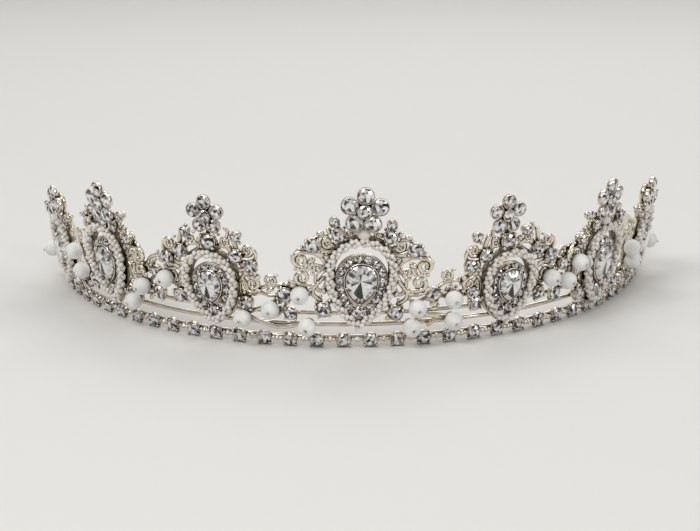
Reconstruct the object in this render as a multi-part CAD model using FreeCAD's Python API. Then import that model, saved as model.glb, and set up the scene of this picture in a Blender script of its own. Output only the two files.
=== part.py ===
import FreeCAD, Part
import math
import os
from FreeCAD import Matrix, Vector

# Bridal tiara: three band wires bent to the head, a row of claw-set crystals along the foot,
# seven medallions (filigree, twisted pearl rope, crystal halo, pear crystal, flower) and
# scroll bridges with sewn-on opal beads between them. Front faces -Y, top is +Z, millimetres.
# Left and right are as seen from the front. A place on the band is (arc, height, depth):
# millimetres along the band from the middle (right is +), up the flared slope, and outward
# from the centres of the wires.

os.makedirs("parts", exist_ok=True)

# ---- band ----
FRONT_RADIUS = 75.7        # plan radius of the front of the band
SIDE_RADIUS = 90.9         # plan radius of the flatter sides
FRONT_ANGLE = 38.7         # degrees from the middle to the start of the side radius
FLARE = 10.65              # degrees that the tiara leans outward
WIRE_RADIUS = 0.6
LOWER_WIRE_HEIGHT = 2.4
MIDDLE_WIRE_HEIGHT = 6.0
UPPER_WIRE_HEIGHT = 9.2
WIRE_END_ARC = 133.0       # the wires stop here, left and right
END_PLATE_LENGTH = 10.0
END_PLATE_THICKNESS = 1.4
END_PLATE_MARGIN = 0.6     # plate beyond the outermost wires
PIN_HOLE_RADIUS = 1.5
SEAT_GAP = 0.02            # between a piece and what it is sewn or soldered to

# ---- stones and cups ----
BASE_STONE_RADIUS = 1.68
BASE_PITCH = 6.57
BASE_COUNT = 36
BASE_SHIFT = -0.76         # the row isn't quite centred
GIRDLE = 0.16              # thickness of a stone's edge
CROWN_SHARE = 0.33         # crown height, table radius and pavilion depth as shares of a radius
TABLE_SHARE = 0.58
PAVILION_SHARE = 0.45
CUP_WALL = 0.25
CUP_FLOOR = 0.2
CUP_CLEARANCE = 0.03
PRONG_RADIUS = 0.28
PRONG_BALL_RADIUS = 0.38
LINK_WIDTH = 1.1
LINK_THICKNESS = 0.6
LINK_BUD_RADIUS = 0.75

# ---- filigree plates ----
PLATE_THICKNESS = 0.9
STRAND_WIDTH = 1.1         # narrow bars of the filigree
RING_BAND = 1.15           # half width of the band under the pearls
LASH_RADIUS = 0.15         # fine wire
LASH_TURNS = 3
LASH_SPREAD = 0.36         # from one turn to the next
LASH_CLEARANCE = 0.12

# ---- pearls and beads ----
PEARL_RADIUS = 0.7
PEARL_PITCH = 1.42
PEARL_TWIST = 36.0         # degrees from one pearl pair to the next
TOP_PEARL_RADIUS = 1.9
OPAL_RADIUS = 2.3
OPAL_HOLE_RADIUS = 0.35
KNOT_RADIUS = 0.3

# ---- medallions ----
# width and height over the pearls; accents are (across, up from the ring's middle, radius)
LARGE = {
    "width": 18.8, "height": 25.9, "halo_width": 13.1, "halo_height": 18.2, "halo_stones": 16,
    "halo_radius": 1.04, "halo_lift": -1.0, "pear_width": 8.0, "pear_height": 10.7,
    "pear_lift": 0.3, "petal_ring": 3.95, "petal_radius": 1.98, "heart_radius": 1.62,
    "cups": {"shoulder": (6.3, 13.0, 1.6), "bud": (7.0, 16.2, 1.2), "wing": (12.6, 9.9, 1.75),
             "hip": (8.9, -7.3, 1.8)},
    "loops": {"curl": (9.0, 10.3, 1.6), "scroll": (15.3, 5.0, 2.0), "low_scroll": (14.5, 0.6, 2.0),
              "knob": (11.2, 6.1, 1.2)},
    "top_stone": (0.0, 13.6, 1.7),
}
SMALL = {
    "width": 16.6, "height": 22.0, "halo_width": 11.0, "halo_height": 14.9, "halo_stones": 14,
    "halo_radius": 0.92, "halo_lift": -0.8, "pear_width": 6.6, "pear_height": 8.8,
    "pear_lift": 0.5, "petal_ring": 3.45, "petal_radius": 1.68, "heart_radius": 1.45,
    "cups": {"shoulder": (7.9, 9.4, 1.7), "bud": (7.2, 14.6, 1.2), "wing": (11.9, 7.0, 1.55),
             "hip": (9.4, -3.2, 1.7)},
    "loops": {"curl": (11.2, 10.9, 1.4), "scroll": (4.8, 12.4, 1.3), "low_scroll": (11.6, 1.6, 1.7),
              "knob": (9.9, 4.3, 1.2)},
    "top_stone": (0.0, 12.8, 1.9),
}
TOP_POST_WIDTH = 1.8
FLOWER_BACK_RADIUS = 2.6
FLOWER_BACK_THICKNESS = 0.7
PETAL_STEP = 0.5           # the flower's heart stands this much proud of its petals
COLLET_WALL = 0.25
COLLET_HEIGHT = 0.8
HALO_PLATE = 0.9
PEAR_CROWN = 1.2

# name, arc, height of the ring's tip, style, scale, roll, flower rise over the ring,
# sideways shift of the top, piece at the ring's top or "none", scrolls on the (left, right)
MEDALLIONS = [
    ("centre", 0.2, 5.0, LARGE, 1.0, -4.0, 7.0, -0.6, "pearl", (True, True)),
    ("left_inner", -35.9, 4.2, SMALL, 1.0, 0.0, 9.1, 1.4, "stone", (True, True)),
    ("right_inner", 36.6, 3.2, SMALL, 1.0, 0.0, 9.2, -3.6, "stone", (True, True)),
    ("left_middle", -69.9, 4.0, LARGE, 0.92, 0.0, 6.0, 3.4, "stone", (False, True)),
    ("right_middle", 69.3, 1.8, LARGE, 0.94, 0.0, 6.6, -3.2, "pearl", (True, False)),
    ("left_outer", -97.8, 2.2, LARGE, 0.86, -13.0, 4.8, 2.4, "none", (True, False)),
    ("right_outer", 97.8, 2.6, LARGE, 0.86, 14.0, 4.8, -2.4, "none", (False, True)),
]

# ---- bridges between the medallions: (arc, height, radius), in the order they are joined ----
BRIDGES = {
    "left_front": {"loops": [(-21.3, 18.0, 2.0), (-25.2, 15.2, 1.5)],
                   "cups": [(-17.4, 14.9, 1.8), (-16.3, 9.8, 1.6)],
                   "beads": [(-13.4, 15.6), (-21.0, 11.2), (-12.1, 6.9), (-28.2, 8.3)]},
    "right_front": {"loops": [(20.4, 18.8, 2.0), (24.4, 17.2, 1.4)],
                    "cups": [(17.0, 14.4, 1.8), (27.2, 13.6, 1.5)],
                    "beads": [(12.7, 11.6), (11.6, 6.4), (21.9, 13.2), (22.2, 7.2)]},
    "left_side": {"loops": [(-50.4, 21.6, 1.6), (-56.2, 17.5, 1.7)],
                  "cups": [(-52.0, 17.4, 1.5), (-51.6, 11.6, 1.8)],
                  "beads": [(-47.4, 16.6), (-56.2, 12.9), (-60.4, 7.9)]},
    "right_side": {"loops": [(49.8, 20.3, 1.5), (55.9, 20.9, 1.5)],
                   "cups": [(53.2, 17.4, 1.5), (51.6, 9.4, 1.8)],
                   "beads": [(48.1, 15.0), (54.4, 13.0), (58.0, 17.4)]},
    "left_rear": {"loops": [(-84.9, 21.2, 1.6)], "cups": [(-84.6, 6.6, 1.6)],
                  "beads": [(-84.9, 16.6), (-82.9, 11.4)]},
    "right_rear": {"loops": [(84.6, 19.4, 1.6)], "cups": [(84.2, 6.4, 1.6)],
                   "beads": [(84.4, 15.2), (87.2, 11.0)]},
    "left_tail": {"loops": [(-114.2, 15.2, 1.7), (-117.6, 9.6, 1.4)], "cups": [(-116.4, 12.6, 1.5)],
                  "beads": [(-113.2, 10.2)]},
    "right_tail": {"loops": [(114.2, 15.0, 1.7), (117.6, 9.6, 1.4)], "cups": [(116.4, 12.6, 1.5)],
                   "beads": [(113.2, 10.0)]},
}

FRONT_ARC = FRONT_RADIUS * math.radians(FRONT_ANGLE)
FLARE_SIN = math.sin(math.radians(FLARE))
FLARE_COS = math.cos(math.radians(FLARE))
PLATE_BACK = WIRE_RADIUS + SEAT_GAP
PLATE_FRONT = PLATE_BACK + PLATE_THICKNESS
SEAT_DEPTH = PLATE_FRONT + SEAT_GAP


# ---- places on the band ----
def plan_angle(arc):
    size = abs(arc)
    if size <= FRONT_ARC:
        angle = size / FRONT_RADIUS
    else:
        angle = math.radians(FRONT_ANGLE) + (size - FRONT_ARC) / SIDE_RADIUS
    return math.copysign(angle, arc)


def plan_point(arc, out=0.0):
    """Point of the band in plan, moved outward, with the front's middle at the origin."""
    angle = plan_angle(arc)
    outward = Vector(math.sin(angle), -math.cos(angle), 0)
    centre = Vector(0, FRONT_RADIUS, 0)
    radius = FRONT_RADIUS
    if abs(arc) > FRONT_ARC:
        join = math.copysign(math.radians(FRONT_ANGLE), arc)
        centre += Vector(math.sin(join), -math.cos(join), 0) * (FRONT_RADIUS - SIDE_RADIUS)
        radius = SIDE_RADIUS
    return centre + outward * (radius + out)


def seat(arc, height, depth, roll=0.0):
    """Matrix from a piece's own frame (x along the band, y up the slope, z outward)."""
    angle = plan_angle(arc)
    outward = Vector(math.sin(angle), -math.cos(angle), 0)
    along = Vector(math.cos(angle), math.sin(angle), 0)
    up = outward * FLARE_SIN + Vector(0, 0, FLARE_COS)
    out = outward * FLARE_COS - Vector(0, 0, FLARE_SIN)
    origin = plan_point(arc) + up * height + out * depth
    turn = math.radians(roll)
    x_axis = along * math.cos(turn) + up * math.sin(turn)
    y_axis = up * math.cos(turn) - along * math.sin(turn)
    return Matrix(x_axis.x, y_axis.x, out.x, origin.x,
                  x_axis.y, y_axis.y, out.y, origin.y,
                  x_axis.z, y_axis.z, out.z, origin.z,
                  0, 0, 0, 1)


def put(shape, matrix):
    return shape.transformed(matrix, True)


def shifted(shape, x, y, z):
    copy = shape.copy()
    copy.translate(Vector(x, y, z))
    return copy


# ---- plane shapes ----
def disc(x, y, radius):
    return Part.Face(Part.Wire(Part.makeCircle(radius, Vector(x, y, 0))))


def bar(start, end, width):
    """A straight strand with round ends."""
    run = Vector(end[0] - start[0], end[1] - start[1], 0)
    side = Vector(-run.y, run.x, 0).normalize() * (width / 2)
    a, b = Vector(start[0], start[1], 0), Vector(end[0], end[1], 0)
    box = Part.Face(Part.makePolygon([a + side, b + side, b - side, a - side, a + side]))
    return [box, disc(a.x, a.y, width / 2), disc(b.x, b.y, width / 2)]


class Pear:
    """Pear outline: a half circle on top and two side arcs that meet in a tip."""

    def __init__(self, width, height, lift=0.0, grow=0.0):
        half = width / 2
        drop = height - half
        self.side = (half ** 2 + drop ** 2) / (2 * half) + grow
        self.half = half + grow
        self.inset = self.side - self.half
        self.top = lift + height / 2 - half
        self.sweep = math.acos(self.inset / self.side)

    def length(self):
        return math.pi * self.half + 2 * self.side * self.sweep

    def tip(self):
        return self.top - self.side * math.sin(self.sweep)

    def at(self, run):
        """Point and outward normal, from the tip up the right side and round."""
        run = run % self.length()
        flank = self.side * self.sweep
        crown = math.pi * self.half
        if run <= flank:
            angle, centre, radius = run / self.side - self.sweep, -self.inset, self.side
        elif run <= flank + crown:
            angle, centre, radius = (run - flank) / self.half, 0.0, self.half
        else:
            angle = math.pi + (run - flank - crown) / self.side
            centre, radius = self.inset, self.side
        normal = Vector(math.cos(angle), math.sin(angle), 0)
        return Vector(centre, self.top, 0) + normal * radius, normal

    def wire(self, z=0.0):
        lift = Vector(0, 0, z)
        flank = self.side * self.sweep
        right, left = self.at(flank)[0], self.at(flank + math.pi * self.half)[0]
        peak = Vector(0, self.top + self.half, 0)
        tip = Vector(0, self.tip(), 0)
        mid_right = self.at(flank / 2)[0]
        mid_left = Vector(-mid_right.x, mid_right.y, 0)
        arcs = [(tip, mid_right, right), (right, peak, left), (left, mid_left, tip)]
        return Part.Wire([Part.Arc(a + lift, b + lift, c + lift).toShape() for a, b, c in arcs])

    def face(self, z=0.0):
        return Part.Face(self.wire(z))


def prisms(faces):
    return [face.extrude(Vector(0, 0, PLATE_THICKNESS)) for face in faces]


def joined(solids):
    return solids[0].multiFuse(solids[1:]).removeSplitter()


# ---- stones, cups and pearls ----
def pavilion_depth(radius):
    return PAVILION_SHARE * radius


def cup_height(radius):
    return CUP_FLOOR + CUP_CLEARANCE + pavilion_depth(radius)


def round_stone(radius):
    """Brilliant of revolution whose girdle starts at z = 0."""
    crown = GIRDLE + CROWN_SHARE * radius
    table = TABLE_SHARE * radius
    profile = [(0, -pavilion_depth(radius)), (radius, 0), (radius, GIRDLE), (table, crown), (0, crown)]
    points = [Vector(r, 0, z) for r, z in profile]
    return Part.Face(Part.makePolygon(points + points[:1])).revolve(Vector(), Vector(0, 0, 1), 360)


def cup(radius, prongs=4):
    """Setting for a round stone, standing on z = 0."""
    height = cup_height(radius)
    inner = radius + CUP_CLEARANCE
    body = Part.makeCylinder(inner + CUP_WALL, height)
    pieces = []
    reach = inner + PRONG_RADIUS
    ball_z = height + GIRDLE + 0.8 * PRONG_BALL_RADIUS
    for number in range(prongs):
        angle = math.radians(45 + 360 / prongs * number)
        x, y = reach * math.cos(angle), reach * math.sin(angle)
        pieces.append(shifted(Part.makeCylinder(PRONG_RADIUS, ball_z), x, y, 0))
        pieces.append(shifted(Part.makeSphere(PRONG_BALL_RADIUS), x, y, ball_z))
    if pieces:
        body = body.multiFuse(pieces)
    bore = Part.makeCylinder(inner, height, Vector(0, 0, CUP_FLOOR))
    return body.cut(bore).Solids[0]


def pear_stone(outline_args):
    """Pear brilliant whose girdle starts at z = 0, built from ruled bands between outlines."""
    width, height, lift = outline_args
    def level(share, z):
        return Pear(width * share, height * share, lift).wire(z)
    bands = [level(0.3, -PEAR_CROWN * 0.55), level(1.0, 0.0), level(1.0, GIRDLE), level(0.62, PEAR_CROWN)]
    return Part.makeLoft(bands, True, True)


def pearl_rope(path, twist_start):
    """Two strands of pearls wound round each other along a closed outline."""
    count = int(path.length() / PEARL_PITCH)
    pearls = []
    for number in range(count):
        point, normal = path.at((number + 0.5) * path.length() / count)
        for half_turn in (0, 180):
            twist = math.radians(twist_start + number * PEARL_TWIST + half_turn)
            centre = point + normal * (PEARL_RADIUS * math.cos(twist))
            centre.z = PEARL_RADIUS * math.sin(twist)
            pearls.append(shifted(Part.makeSphere(PEARL_RADIUS), centre.x, centre.y, centre.z))
    return pearls


# ---- band ----
def band_wire(height):
    out = height * FLARE_SIN
    level = Vector(0, 0, height * FLARE_COS)
    stops = [-WIRE_END_ARC, -FRONT_ARC, FRONT_ARC, WIRE_END_ARC]
    edges = []
    for first, last in zip(stops, stops[1:]):
        points = [plan_point(first, out), plan_point((first + last) / 2, out), plan_point(last, out)]
        edges.append(Part.Arc(*[point + level for point in points]).toShape())
    path = Part.Wire(edges)
    start = edges[0].Vertexes[0].Point
    tangent = edges[0].tangentAt(edges[0].FirstParameter)
    section = Part.Wire(Part.makeCircle(WIRE_RADIUS, start, tangent))
    return [path.makePipeShell([section], True, True)]


def end_plate(side):
    """Flattened end that takes the three wires and a hair pin through its hole."""
    low = LOWER_WIRE_HEIGHT - WIRE_RADIUS - END_PLATE_MARGIN
    high = UPPER_WIRE_HEIGHT + WIRE_RADIUS + END_PLATE_MARGIN
    tall = high - low
    block = Part.makeBox(END_PLATE_LENGTH, tall, END_PLATE_THICKNESS,
                         Vector(0, -tall / 2, -END_PLATE_THICKNESS / 2))
    far = [edge for edge in block.Edges
           if edge.BoundBox.XMin > END_PLATE_LENGTH / 2 and edge.BoundBox.ZLength > END_PLATE_THICKNESS / 2]
    block = block.makeFillet(tall * 0.4, far)
    hole = Part.makeCylinder(PIN_HOLE_RADIUS, END_PLATE_THICKNESS * 2,
                             Vector(END_PLATE_LENGTH / 2, 0, -END_PLATE_THICKNESS))
    block = block.cut(hole)
    if side < 0:
        block = block.mirror(Vector(), Vector(1, 0, 0))
    return [put(block, seat(side * WIRE_END_ARC, (low + high) / 2, 0.0))]


# ---- row of crystals along the foot ----
def base_places():
    middle = (BASE_COUNT - 1) / 2
    return [(number - middle) * BASE_PITCH + BASE_SHIFT for number in range(BASE_COUNT)]


def base_height():
    """Height of the row's centres, so that its lowest edge lies on the surface."""
    outer = BASE_STONE_RADIUS + CUP_CLEARANCE + CUP_WALL
    return outer + (PLATE_BACK + cup_height(BASE_STONE_RADIUS)) * FLARE_SIN / FLARE_COS


def base_row():
    radius = BASE_STONE_RADIUS
    outer = radius + CUP_CLEARANCE + CUP_WALL
    single = cup(radius)
    span = BASE_PITCH - 2 * outer
    link = Part.makeBox(span + CUP_WALL / 2, LINK_WIDTH, LINK_THICKNESS,
                        Vector(outer - CUP_WALL / 2, -LINK_WIDTH / 2, 0))
    bud = shifted(Part.makeSphere(LINK_BUD_RADIUS), outer + span / 2, 0, LINK_THICKNESS)
    bud = bud.common(Part.makeBox(BASE_PITCH, BASE_PITCH, BASE_PITCH, Vector(0, -BASE_PITCH / 2, 0)))
    linked = single.multiFuse([link, bud]).Solids[0]
    stone = round_stone(radius)
    cups, stones = [], []
    places = base_places()
    for arc in places:
        cups.append(put(single if arc == places[-1] else linked, seat(arc, base_height(), PLATE_BACK)))
        stones.append(put(stone, seat(arc, base_height(), PLATE_BACK + cup_height(radius) + SEAT_GAP)))
    return cups, stones


# ---- fine wire ----
def lash_centre_depth():
    return (PLATE_FRONT - WIRE_RADIUS) / 2


def lash_radius():
    return (PLATE_FRONT + WIRE_RADIUS) / 2 + LASH_CLEARANCE + LASH_RADIUS


def lashing(arc, height):
    """A few turns of fine wire round a band wire and the filigree on it."""
    turn = Part.makeTorus(lash_radius(), LASH_RADIUS, Vector(), Vector(1, 0, 0))
    offsets = [(number - (LASH_TURNS - 1) / 2) * LASH_SPREAD for number in range(LASH_TURNS)]
    return [put(turn, seat(arc + offset, height, lash_centre_depth())) for offset in offsets]


# ---- medallions ----
def scaled(places, scale):
    return {name: tuple(value * scale for value in place) for name, place in places.items()}


def medallion(name, arc, tip, style, scale, roll, rise, shift, top_piece, scrolls):
    width, height = style["width"] * scale, style["height"] * scale
    middle = tip + height / 2
    rope = Pear(width - 4 * PEARL_RADIUS, height - 4 * PEARL_RADIUS)
    halo = Pear(style["halo_width"] * scale, style["halo_height"] * scale, style["halo_lift"] * scale)
    pear_size = (style["pear_width"] * scale, style["pear_height"] * scale, style["pear_lift"] * scale)
    samples = [rope.at(number * rope.length() / 720)[0] for number in range(720)]
    flower_x, flower_y = shift, height / 2 + rise

    def place(depth):
        return seat(arc, middle, depth, roll)

    def ring_point(x, y):
        near = min(samples, key=lambda point: (point.x - x) ** 2 + (point.y - y) ** 2)
        return near.x, near.y

    # filigree: band under the pearls, bed of the halo, loops, pads under the cups, post to the flower
    cups = {}
    strands = [Pear(width - 4 * PEARL_RADIUS, height - 4 * PEARL_RADIUS, 0.0, RING_BAND).face()]
    bed = [Pear(style["halo_width"] * scale, style["halo_height"] * scale,
                style["halo_lift"] * scale, -0.2).face()]
    loops = []
    for side, has_scrolls in ((-1, scrolls[0]), (1, scrolls[1])):
        accents = scaled(style["cups"], scale)
        curls = scaled(style["loops"], scale)
        for key, (x, y, radius) in accents.items():
            at_x = side * x + (shift if key == "bud" else 0.0)
            if key == "wing" and not has_scrolls:
                continue
            cups[key, side] = (at_x, y, radius)
            strands.append(disc(at_x, y, radius + CUP_WALL))
            if key != "bud":
                strands += bar((at_x, y), ring_point(at_x, y), STRAND_WIDTH)
        for key, (x, y, radius) in curls.items():
            at_x = side * x
            if key in ("scroll", "low_scroll") and not has_scrolls:
                continue
            loops.append((at_x, y, radius))
            strands.append(disc(at_x, y, radius))
            strands += bar((at_x - side * radius * 0.75, y), ring_point(at_x, y), STRAND_WIDTH)
        bud, shoulder = cups["bud", side], cups["shoulder", side]
        strands += bar(bud[:2], shoulder[:2], STRAND_WIDTH)
        bed += bar((side * halo.half * 0.8, halo.top), (side * (rope.half + 0.2), halo.top), STRAND_WIDTH)
    top_x, top_y, top_radius = (value * scale for value in style["top_stone"])
    top_x += shift / 2
    strands.append(disc(top_x, top_y, max(top_radius, TOP_PEARL_RADIUS) + CUP_WALL))
    strands += bar((0.0, rope.top + rope.half), (top_x, top_y), TOP_POST_WIDTH)
    strands += bar((top_x, top_y), (flower_x, flower_y), TOP_POST_WIDTH)
    strands.append(disc(flower_x, flower_y, FLOWER_BACK_RADIUS))
    bed += bar((0.0, halo.tip() + 1.0), (0.0, rope.tip()), STRAND_WIDTH)
    window = Pear(width - 4 * PEARL_RADIUS, height - 4 * PEARL_RADIUS, 0.0, -RING_BAND).face()
    bed.append(strands[0].cut(window))
    outside = joined(prisms(strands[1:])).cut(prisms(strands[:1])[0])
    eyes = [disc(x, y, radius * 0.52) for x, y, radius in loops]
    eyes.append(Pear(pear_size[0], pear_size[1], pear_size[2], -0.8).face())
    lean_sin, lean_cos = math.sin(math.radians(roll)), math.cos(math.radians(roll))
    knots = [min((point for point in samples if side * point.x > 0),
                 key=lambda point: abs(middle + point.x * lean_sin + point.y * lean_cos - UPPER_WIRE_HEIGHT))
             for side in (-1, 1)]
    eyes += [disc(knot.x + way * lean_sin * lash_radius(), knot.y + way * lean_cos * lash_radius(),
                  LASH_RADIUS + LASH_CLEARANCE) for knot in knots for way in (-1, 1)]
    lattice = joined(prisms(bed) + outside.Solids).cut(Part.makeCompound(prisms(eyes)))
    filigree = [put(solid, place(PLATE_BACK)) for solid in lattice.Solids]
    for (key, side), (x, y, radius) in cups.items():
        filigree.append(put(shifted(cup(radius), x, y, 0), place(SEAT_DEPTH)))
    if top_piece == "stone":
        filigree.append(put(shifted(cup(top_radius), top_x, top_y, 0), place(SEAT_DEPTH)))
        cups["top", 0] = (top_x, top_y, top_radius)

    # pearls
    rope_depth = SEAT_DEPTH + 2 * PEARL_RADIUS
    pearls = [put(pearl, place(rope_depth)) for pearl in pearl_rope(rope, arc)]
    if top_piece == "pearl":
        dome = Part.makeSphere(TOP_PEARL_RADIUS, Vector(), Vector(0, 0, 1), 0, 90, 360)
        pearls.append(put(shifted(dome, top_x, top_y, 0), place(SEAT_DEPTH)))

    # halo and its stones, and the pear crystal in its collet
    halo_radius = style["halo_radius"] * scale
    track = Pear(style["halo_width"] * scale, style["halo_height"] * scale,
                 style["halo_lift"] * scale, -halo_radius - COLLET_WALL)
    count = style["halo_stones"]
    spots = [track.at((number + 0.5) * track.length() / count)[0] for number in range(count)]
    inner_tip = Pear(*pear_size).tip() - COLLET_WALL - halo_radius * 1.5
    spots.append(Vector(0, inner_tip, 0))
    stone_bed = halo.face().extrude(Vector(0, 0, HALO_PLATE))
    collet = Pear(*pear_size, CUP_CLEARANCE + COLLET_WALL).face()
    collet = collet.extrude(Vector(0, 0, HALO_PLATE + COLLET_HEIGHT))
    pocket = Pear(*pear_size, CUP_CLEARANCE).face().extrude(Vector(0, 0, HALO_PLATE + COLLET_HEIGHT))
    pocket.translate(Vector(0, 0, CUP_FLOOR))
    depth = pavilion_depth(halo_radius) + CUP_CLEARANCE
    sinks = [Part.makeCylinder(halo_radius + CUP_CLEARANCE, depth + HALO_PLATE,
                               Vector(spot.x, spot.y, HALO_PLATE - depth)) for spot in spots]
    halo_body = stone_bed.fuse(collet).cut(Part.makeCompound(sinks + [pocket]))
    halo_setting = [put(solid, place(SEAT_DEPTH)) for solid in halo_body.Solids]
    small_stone = round_stone(halo_radius)
    halo_stones = [put(shifted(small_stone, spot.x, spot.y, 0), place(SEAT_DEPTH + HALO_PLATE + SEAT_GAP))
                   for spot in spots]
    pear = put(pear_stone(pear_size), place(SEAT_DEPTH + HALO_PLATE + COLLET_HEIGHT - GIRDLE))

    # flower on its back disc
    petal, heart = style["petal_radius"] * scale, style["heart_radius"] * scale
    petal_ring = style["petal_ring"] * scale
    back = Part.makeCylinder(FLOWER_BACK_RADIUS, FLOWER_BACK_THICKNESS)
    petals = [(flower_x, flower_y, heart)]
    for number in range(5):
        angle = math.radians(90 + 72 * number)
        petals.append((flower_x + petal_ring * math.cos(angle),
                       flower_y + petal_ring * math.sin(angle), petal))
    flower = [put(shifted(back, flower_x, flower_y, 0), place(SEAT_DEPTH))]
    cup_level = SEAT_DEPTH + FLOWER_BACK_THICKNESS + SEAT_GAP
    for index, (x, y, radius) in enumerate(petals):
        level = cup_level + (PETAL_STEP if index == 0 else 0.0)
        flower.append(put(shifted(cup(radius, 0), x, y, 0), place(level)))
        cups["petal", index] = (x, y, radius)

    # every other stone of the medallion
    accents = []
    for (key, index), (x, y, radius) in cups.items():
        level = SEAT_DEPTH
        if key == "petal":
            level = cup_level + (PETAL_STEP if index == 0 else 0.0)
        accents.append(put(shifted(round_stone(radius), x, y, 0),
                           place(level + cup_height(radius) + SEAT_GAP)))
    shrink = FRONT_RADIUS / (FRONT_RADIUS + UPPER_WIRE_HEIGHT * FLARE_SIN)
    lash_arcs = [arc + (knot.x * lean_cos - knot.y * lean_sin) * shrink for knot in knots]
    return {"filigree": filigree, "flower_setting": flower, "pearl_ring": pearls,
            "halo_setting": halo_setting, "halo_crystals": halo_stones, "pear_crystal": [pear],
            "accent_crystals": accents}, lash_arcs


# ---- bridges ----
def bridge(loops, cups, beads):
    """Scrollwork with claw cups, and the places of its beads."""
    points = [(arc, height) for arc, height, radius in loops + cups] + beads
    middle = sum(point[0] for point in points) / len(points)
    stretch = 1 + UPPER_WIRE_HEIGHT * FLARE_SIN / FRONT_RADIUS
    def flat(arc):
        return (arc - middle) * stretch
    strands = []
    climb = sorted(points, key=lambda point: point[1])
    for first, last in zip(climb, climb[1:]):
        strands += bar((flat(first[0]), first[1]), (flat(last[0]), last[1]), STRAND_WIDTH)
    strands += [disc(flat(arc), height, radius) for arc, height, radius in loops]
    strands += [disc(flat(arc), height, radius + CUP_WALL) for arc, height, radius in cups]
    strands += [disc(flat(arc), height, OPAL_RADIUS * 0.5) for arc, height in beads]
    eyes = [disc(flat(arc), height, radius * 0.52) for arc, height, radius in loops]
    eyes += [disc(flat(arc), height, LASH_RADIUS + LASH_CLEARANCE) for arc, height in beads]
    lattice = joined(prisms(strands)).cut(Part.makeCompound(prisms(eyes)))
    solids = [put(solid, seat(middle, 0.0, PLATE_BACK)) for solid in lattice.Solids]
    stones = []
    for arc, height, radius in cups:
        lift = Vector(flat(arc), height, 0)
        solids.append(put(shifted(cup(radius), *lift), seat(middle, 0.0, SEAT_DEPTH)))
        stones.append(put(shifted(round_stone(radius), *lift),
                          seat(middle, 0.0, SEAT_DEPTH + cup_height(radius) + SEAT_GAP)))
    bead = Part.makeSphere(OPAL_RADIUS).cut(
        Part.makeCylinder(OPAL_HOLE_RADIUS, 4 * OPAL_RADIUS, Vector(0, 0, -2 * OPAL_RADIUS)))
    opals, pins = [], []
    for arc, height in beads:
        frame = seat(middle, 0.0, SEAT_DEPTH + OPAL_RADIUS)
        opals.append(put(shifted(bead, flat(arc), height, 0), frame))
        pins.append((middle, flat(arc), height))
    return solids, stones, opals, pins


def build():
    nodes = {"lower_band_wire": band_wire(LOWER_WIRE_HEIGHT),
             "middle_band_wire": band_wire(MIDDLE_WIRE_HEIGHT),
             "upper_band_wire": band_wire(UPPER_WIRE_HEIGHT),
             "left_end_plate": end_plate(-1), "right_end_plate": end_plate(1)}
    nodes["base_claw_cups"], nodes["base_crystals"] = base_row()
    sewing = []
    for row in MEDALLIONS:
        pieces, lash_arcs = medallion(*row)
        for kind, solids in pieces.items():
            nodes[f"{row[0]}_{kind}"] = solids
        for arc in lash_arcs:
            sewing += lashing(arc, UPPER_WIRE_HEIGHT)
    for kind in ("bridge_scrolls", "bridge_crystals", "opal_beads"):
        nodes[kind] = []
    length = 2 * OPAL_RADIUS + PLATE_THICKNESS
    pin = Part.makeCylinder(LASH_RADIUS, length, Vector(0, 0, -PLATE_THICKNESS))
    pin = pin.fuse(Part.makeSphere(KNOT_RADIUS, Vector(0, 0, 2 * OPAL_RADIUS + KNOT_RADIUS / 2)))
    for spec in BRIDGES.values():
        solids, stones, opals, pins = bridge(spec["loops"], spec["cups"], spec["beads"])
        nodes["bridge_scrolls"] += solids
        nodes["bridge_crystals"] += stones
        nodes["opal_beads"] += opals
        sewing += [put(shifted(pin, x, y, 0), seat(middle, 0.0, SEAT_DEPTH)) for middle, x, y in pins]
    nodes["sewing_wire"] = sewing
    return {name: Part.makeCompound(solids) for name, solids in nodes.items()}


def centre_on_footprint(nodes):
    """Moves the whole tiara so that the origin is the middle of its footprint, on the surface."""
    box = FreeCAD.BoundBox()
    for shape in nodes.values():
        box.add(shape.BoundBox)
    move = Vector(-box.Center.x, -box.Center.y, -box.ZMin)
    for shape in nodes.values():
        shape.translate(move)
    return move


nodes = build()
move = centre_on_footprint(nodes)
print(f"{len(nodes)} nodes, moved by {move.x:.4f}, {move.y:.4f}, {move.z:.4f}")
for name, shape in nodes.items():
    shape.exportStep(f"parts/{name}.step")
    print(name, len(shape.Solids), f"{shape.Volume:.2f}", shape.isValid())
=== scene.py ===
import math
import random
import bpy
import bmesh
import numpy as np
from mathutils import Matrix, Vector


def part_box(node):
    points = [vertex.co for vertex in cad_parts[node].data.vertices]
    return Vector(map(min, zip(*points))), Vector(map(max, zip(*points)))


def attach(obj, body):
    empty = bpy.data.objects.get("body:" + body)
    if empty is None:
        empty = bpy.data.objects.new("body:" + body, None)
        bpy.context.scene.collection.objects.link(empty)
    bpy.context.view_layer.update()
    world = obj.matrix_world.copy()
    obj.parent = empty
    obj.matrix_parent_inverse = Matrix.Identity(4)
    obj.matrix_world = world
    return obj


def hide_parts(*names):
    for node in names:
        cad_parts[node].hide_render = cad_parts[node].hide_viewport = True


# Bridal tiara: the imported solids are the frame, and every stone, cup, pearl, bead and scroll
# is rebuilt where its solid stands. Lengths in the dictionaries are millimetres.

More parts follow.
